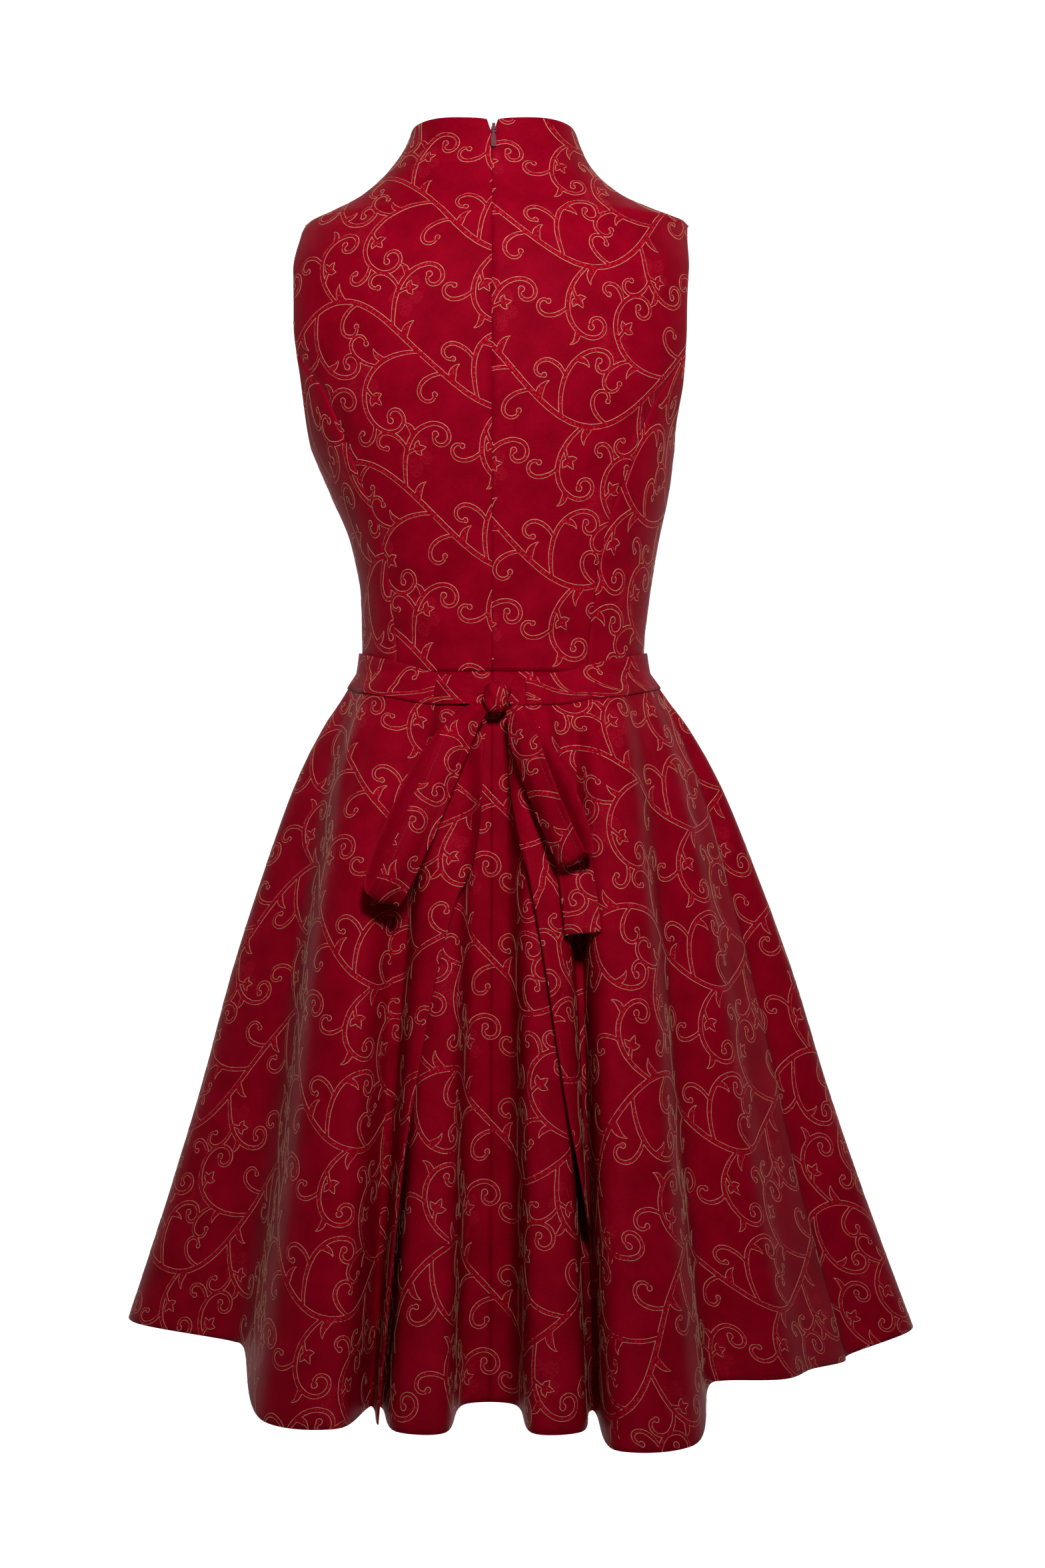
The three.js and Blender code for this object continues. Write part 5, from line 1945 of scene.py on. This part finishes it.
    def _tie(self, name: str, start: float, end: float, knot_at_end: bool) -> Cloth:
        """A tie from the band's end to the knot.

        Args:
            name: Its node.
            start: Distance of its first end from the zip.
            end: Distance of its other end.
            knot_at_end: Whether the knot is at the second end.

        Returns:
            The tie.
        """

        def near(fold: Array, z: Array) -> Array:
            """How far the tie's inner face lies out from the dress: more towards the knot.

            Args:
                fold: Fold numbers.
                z: Heights.

            Returns:
                One distance for each place.
            """
            share = np.clip((FORM.dress(fold, z)[..., 0] - start) / (end - start), 0, 1)
            toward = share if knot_at_end else 1 - share
            pleat = self.pleat * np.sin(z * self.pleat_turn + share * 2) * toward
            return self.band_near(fold, z) + self.tie_rise * soft_step(toward, 0, 1) + pleat

        ends = [float(FORM.fold_at(x, WAIST_Z)) for x in (start, end)]
        return self._strip(name, np.linspace(*ends, self.tie_columns), near, self.tie_rows, (0, -40))

    def build(self) -> None:
        """Makes the apron's panels."""
        gores = (
            self._gore("apron_right", self.right_edge, self._right_seam, 150, 116),
            self._gore("apron_front", self._right_seam, self._left_seam, 164, 74),
            self._gore("apron_left", self._left_seam, self.left_edge, 130, 116),
        )
        hems = ((Edge.LEFT, Edge.BOTTOM), (Edge.BOTTOM,), (Edge.RIGHT, Edge.BOTTOM))
        for cloth, sewn in zip(gores, hems):
            self.shop.panel(cloth, self.wall, Hold.HUNG, ["apron_waistband"], "apron_fabric", sewn=sewn)
        ends = [FORM.fold_of_angle(angle) for angle in (self.band_end_right, 360 - self.band_end_left)]
        band = self._strip("apron_waistband", np.linspace(*ends, 240), self.band_near, 14, (30, 50))
        backs = ["bodice_back_left", "bodice_back_right"]
        sewn = (Edge.TOP, Edge.BOTTOM)
        self.shop.panel(band, self.band_cloth, Hold.STRETCHED, backs, "apron_fabric", sewn=sewn)
        seams = [float(FORM.dress(fold, WAIST_Z)[0]) for fold in reversed(ends)]
        left_tie = self._tie("apron_tie_left", seams[0] + SEAM_GAP, self.tie_left_end, True)
        right_tie = self._tie("apron_tie_right", self.tie_right_end, seams[1] - SEAM_GAP, False)
        joined = ["apron_waistband", "bow_knot"]
        for tie in (left_tie, right_tie):
            self.shop.panel(tie, self.band_cloth, Hold.STRETCHED, joined, "apron_fabric")


@dataclass
class Bow(Garment):
    """The bow: a knot, two loops and two tails, all of one folded strip of cloth."""

    wall: float = 0.9
    across: int = 15
    left_loop: tuple = (
        (-8.3, -118.6, -400.6, 13, -28, 0), (-19, -130, -412, 22, -30, -0.1),
        (-28, -143, -429, 27, -30, -0.2), (-36, -154, -449, 28, -28, -0.3),
        (-45, -165, -471, 28, -27, -0.3), (-54, -173, -493, 28, -27, -0.3),
        (-65, -179, -518, 28, -27, -0.35), (-77, -180, -543, 28, -27, -0.4),
        (-83, -174, -552, 28, -27, -0.4), (-86, -166, -545, 28, -27, -0.4),
        (-79, -163, -520, 28, -27, -0.3), (-67, -160, -492, 28, -27, -0.2),
        (-53, -153, -462, 28, -28, -0.1), (-38, -142.5, -436, 26, -30, 0),
        (-23, -129, -416, 20, -30, 0), (-9, -116.4, -402.8, 12, -28, 0),
    )
    right_loop: tuple = (
        (17, -119.4, -401, 13, 28, 0), (21, -129, -414, 21, 30, 0.2),
        (25, -143.5, -429, 26, 32, 0.5), (31, -158, -448, 28, 32, 0.7),
        (38, -169, -467, 28, 30, 0.75), (47, -179, -489, 28, 28, 0.75),
        (56, -187, -509, 28, 26, 0.7), (62, -188, -520, 28, 26, 0.6),
        (68, -181, -519, 28, 26, 0.55), (65, -175, -502, 28, 28, 0.5),
        (58, -167.5, -481, 28, 30, 0.45), (48, -158, -459, 27, 32, 0.35),
        (37, -146, -438, 24, 32, 0.2), (27, -132, -420, 18, 32, 0.1),
        (16.4, -117.1, -404, 9, 30, 0),
    )
    left_tail: tuple = (
        (-8.6, -114.4, -405.5, 8, -28, 0), (-24, -125, -421, 15, -30, 0),
        (-38, -138, -441, 20, -30, 0), (-52, -148, -466, 22, -28, 0), (-62, -153, -489, 24, -27, 0),
        (-71, -155, -508, 26, -27, 0), (-78, -157, -526, 27, -27, 0),
    )
    right_tail: tuple = (
        (15.4, -115.6, -405.8, 8, 28, 0), (29, -129.5, -427, 17, 30, 0),
        (40, -143, -449, 22, 28, 0), (51, -154.5, -475, 25, 24, 0.05),
        (59, -163.5, -500, 27, 18, 0.05), (64, -171, -524, 28, 12, 0.1),
        (67.5, -179.5, -549, 28, 6, 0.1), (70.5, -188, -576, 28, 4, 0.05),
    )
    knot_middle: tuple = (3.5, -111.5, -394)
    knot_size: tuple = (20, 20, 26)
    knot_power: float = 2.8
    knot_grid: tuple[int, int] = (44, 64)
    knot_pole: float = 0.05
    knot_folds: tuple[float, float] = (0.06, -0.04)
    knot_fill: float = 0.9
    drift: float = 1.3
    face_out: float = 0.45
    look: float = 1e-4

    def _strip(self, name: str, stations: tuple, folds: tuple, rows: int, shift: tuple) -> Cloth:
        """One strip of the bow.

        Args:
            name: Its node.
            stations: Rows of its middle, width, lean and tilt.
            folds: Height of its lengthwise folds at the start and the end, and how many folds.
            rows: How many rows.
            shift: Where it lies on the cloth's drawing.

        Returns:
            The strip, with its face outwards.
        """
        table = np.array(stations, float)
        last = len(table) - 1
        path = Spline(table[:, :3], closed=False)
        share = np.linspace(0, 1, rows)
        along = unit(path(np.minimum(share + self.look, 1)) - path(np.maximum(share - self.look, 0)))
        places = share * last
        width, lean, tilt = (np.interp(places, np.arange(last + 1), table[:, i]) for i in (3, 4, 5))
        lean = np.radians(lean)
        across = np.stack([np.cos(lean), -tilt, np.sin(lean)], axis=1)
        across = unit(across - along * np.sum(across * along, axis=1, keepdims=True))
        out = np.cross(along, across)
        side = np.linspace(-1, 1, self.across)
        wave = np.cos(side[None, :] * math.pi * folds[2] + share[:, None] * self.drift)
        height = mix(folds[0], folds[1], share)[:, None] * wave
        points = (
            path(share)[:, None]
            + across[:, None] * (side[None, :] * width[:, None] / 2)[..., None]
            + out[:, None] * (height + self.face_out)[..., None]
        )
        grid = points[::-1] if np.cross(across[0], along[0])[1] > 0 else points
        return Cloth(name, grid, shift=shift)

    def _knot_face(self) -> Array:
        """Shapes the knot: a rounded block with folds drawn over it.

        Returns:
            Rows of points from its lower pole to its upper one.
        """
        rows, columns = self.knot_grid
        turn = np.linspace(-math.pi, math.pi, columns)[None, :]
        up = np.linspace(-math.pi / 2 + self.knot_pole, math.pi / 2 - self.knot_pole, rows)[:, None]
        level = np.cos(up)
        rise = np.sin(up) * np.ones_like(turn)
        way = np.stack([level * np.sin(turn), -level * np.cos(turn), rise], axis=-1)
        size = np.sum(np.abs(way) ** self.knot_power, axis=-1, keepdims=True) ** (-1 / self.knot_power)
        deep, sunk = self.knot_folds
        folds = deep * np.cos(turn * 5 + 2.4 * up + 0.8 * np.sin(up * 2.6)) * level**0.5 + sunk
        reach = way * size * (1 + folds[..., None])
        return np.array(self.knot_middle) + reach * np.array(self.knot_size) / 2

    def _knot(self) -> None:
        """Makes the knot."""
        points = self._knot_face()
        cloth = Cloth("bow_knot", points, shift=(40, 10))
        flat = cloth.flat() * MM
        low, high = (np.broadcast_to(points[row].mean(axis=0), points[:1].shape) for row in (0, -1))
        closed = np.concatenate([low, points, high])
        uv = np.concatenate([flat[:1], flat, flat[-1:]])
        piece = grid_object("bow_knot_cloth", closed, uv, GROUND)
        weld(piece)
        threads = self.shop.weaving.lay(cloth)
        for part in (piece, *threads):
            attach(part, "dress")
        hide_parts("bow_knot")
        LOG.info("bow_knot: %.0f x %.0f mm", self.knot_size[0], self.knot_size[2])

    def build(self) -> None:
        """Makes the knot, the loops and the tails."""
        self._knot()
        strips = (
            self._strip("bow_loop_left", self.left_loop, (2.0, 1.5, 1.0), 110, (200, 20)),
            self._strip("bow_loop_right", self.right_loop, (2.0, 1.5, 1.0), 100, (225, 60)),
            self._strip("bow_tail_left", self.left_tail, (1.0, 0.8, 1.0), 60, (62, 40)),
            self._strip("bow_tail_right", self.right_tail, (1.2, 1.6, 1.0), 70, (205, 100)),
        )
        sewn = (Edge.LEFT, Edge.RIGHT)
        for cloth in strips:
            self.shop.panel(cloth, self.wall, Hold.FOLDED, ["bow_knot"], "apron_fabric", sewn=sewn)


@dataclass
class Zip:
    """The concealed zip: its tape behind the centre back edges, its slider and its pull tab."""

    half_width: float = 11.0
    behind: float = 3.1
    neck: float = 66.0
    bottom: float = -520.0
    wall: float = 0.8
    ridge: tuple[float, float] = (0.7, 1.4)
    rows: tuple[int, int] = (30, 90)
    columns: int = 13
    pitch: float = 1.5
    tooth: tuple[float, float, float] = (1.7, 0.6, 0.8)
    tooth_shift: float = 0.45
    tooth_height: float = 0.9
    ends: tuple[float, float] = (6.0, 4.0)

    def _teeth(self) -> Piece:
        """Makes the two rows of teeth on the tape's ridge.

        Returns:
            The teeth, as one piece.
        """
        z = np.arange(self.bottom + self.ends[0], self.neck - self.ends[1], self.pitch)
        x = np.where(np.arange(len(z)) % 2, self.tooth_shift, -self.tooth_shift)
        fold = FORM.fold_at(x, z)
        way = outward(FORM.dress, fold, z, FOLD_STEPS)
        middles = (FORM.dress(fold, z) + way * (self.tooth_height - self.behind)) * MM
        size = Matrix.Diagonal((*(np.array(self.tooth) * MM), 1))
        mesh = bpy.data.meshes.new("zip_teeth")
        bm = bmesh.new()
        for middle, facing in zip(middles, way):
            turn = Vector(facing).to_track_quat("-Y", "Z").to_matrix().to_4x4()
            bmesh.ops.create_cube(bm, size=1, matrix=Matrix.Translation(middle) @ turn @ size)
        bm.to_mesh(mesh)
        bm.free()
        mesh.materials.append(PAINT.material())
        teeth = placed("zip_teeth", mesh)
        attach(teeth, "dress")
        LOG.info("zip_teeth: %d teeth", len(z))
        return teeth

    def build(self) -> None:
        """Makes the tape and the teeth, and paints the slider and the tab."""
        below, above = self.rows
        upper = np.linspace(WAIST_Z, self.neck, above)[1:]
        z = np.r_[np.linspace(self.bottom, WAIST_Z, below), upper][:, None]
        x = np.linspace(-self.half_width, self.half_width, self.columns)[None, :]
        fold = FORM.fold_at(*np.broadcast_arrays(x, z))
        z = np.broadcast_to(z, fold.shape)
        height, width = self.ridge
        ridge = height * np.exp(-((x / width) ** 2))
        way = outward(FORM.dress, fold, z, FOLD_STEPS)
        points = FORM.dress(fold, z) + way * (ridge - self.behind)[..., None]
        cloth = Cloth("zip_tape", points)
        piece = grid_object("zip_tape_cloth", points, cloth.flat() * MM, TAPE)
        thicken(piece, self.wall)
        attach(piece, "dress")
        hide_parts("zip_tape")
        width, length = cloth.cut_size()
        self._teeth()
        for node in ("zip_slider", "zip_pull_tab"):
            for slot in bpy.data.objects[node].material_slots:
                slot.material = PAINT.material()
        LOG.info("zip: tape %.3f m long", length)


@dataclass
class Studio:
    """The paper, the lights and the camera."""

    distance: float = 2500.0
    aim: tuple[float, float] = (24.2, -462.0)
    frame_height: float = 1293.6
    floor: float = -1250.0
    lit_from: float = 480.0
    near_edge: float = -5000.0
    bend_start: float = 5000.0
    bend: float = 900.0
    bend_rows: int = 16
    wall_top: float = 6000.0
    half_width: float = 9000.0
    columns: int = 9
    sensor: float = 36.0
    ambient: float = 0.03
    # each light: its name, its place in metres, its size, its power and its spread
    lights: tuple = (
        ("key", (0.4, -2.35, 1.1), 0.5, 6.5, 58),
        ("fill", (-1.7, -1.7, 0.7), 0.9, 0.8, 75),
        ("rim", (0.3, 2.4, 1.4), 2.4, 1.2, 160),
    )
    target: tuple[float, float, float] = (0.0, 0.0, -0.1)

    def build(self) -> None:
        """Makes the stage, the lights and the camera."""
        self._sweep()
        for light in self.lights:
            self._light(*light)
        world = bpy.data.worlds.new("studio_world")
        world.use_nodes = True
        background = world.node_tree.nodes["Background"]
        background.inputs[0].default_value = (1, 1, 1, 1)
        background.inputs[1].default_value = self.ambient
        bpy.context.scene.world = world
        bpy.context.scene.view_settings.view_transform = "Standard"
        data = bpy.data.cameras.new("camera")
        data.sensor_width = self.sensor
        data.lens = self.sensor / 2 * self.distance / (self.frame_height / 2)
        camera = placed("camera", data)
        camera.location = Vector((self.aim[0], -self.distance, self.aim[1])) * MM
        camera.rotation_euler = (math.pi / 2, 0, 0)
        bpy.context.scene.camera = camera
        LOG.info("camera: %.1f mm", data.lens)

    def _sweep(self) -> None:
        """Makes the paper: a floor, and behind the dress a lit sheet that rises from it."""
        turn = np.linspace(0, math.pi / 2, self.bend_rows)
        run = self.bend_start + self.bend * np.sin(turn)
        rise = self.floor + self.bend * (1 - np.cos(turn))
        wall = np.c_[np.r_[self.lit_from, run, run[-1]], np.r_[self.floor, rise, self.wall_top]]
        floor = np.array([[self.near_edge, self.floor], [self.lit_from, self.floor]])
        across = np.linspace(-self.half_width, self.half_width, self.columns)
        for name, profile, finish in (("studio_floor", floor, PAPER), ("studio_wall", wall, LIT_PAPER)):
            size = (len(profile), len(across))
            parts = [np.broadcast_to(across, size), *(np.broadcast_to(c[:, None], size) for c in profile.T)]
            points = np.stack(parts, axis=-1)
            grid_object(name, points, points[..., :2] * MM, finish)

    def _light(
        self, name: str, place: tuple[float, float, float], size: float, power: float, spread: float
    ) -> None:
        """Adds a soft square light that faces the bodice.

        Args:
            name: The light's name.
            place: Where it stands, in metres.
            size: The length of its sides.
            power: Its power in watts.
            spread: The angle that its beam opens to, in degrees.
        """
        data = bpy.data.lights.new(name, "AREA")
        data.energy = power
        data.size = size
        data.spread = math.radians(spread)
        light = placed(name, data)
        light.location = place
        light.rotation_euler = (Vector(self.target) - Vector(place)).to_track_quat("-Z", "Y").to_euler()


def main() -> None:
    """Builds the dirndl, the studio and the camera."""
    logging.basicConfig(level=logging.INFO, format="%(message)s")
    Studio().build()
    shop = Workshop()
    for kind in (Bodice, Skirt, Apron, Bow):
        kind(shop).build()
    Zip().build()


if __name__ == "__main__":
    main()
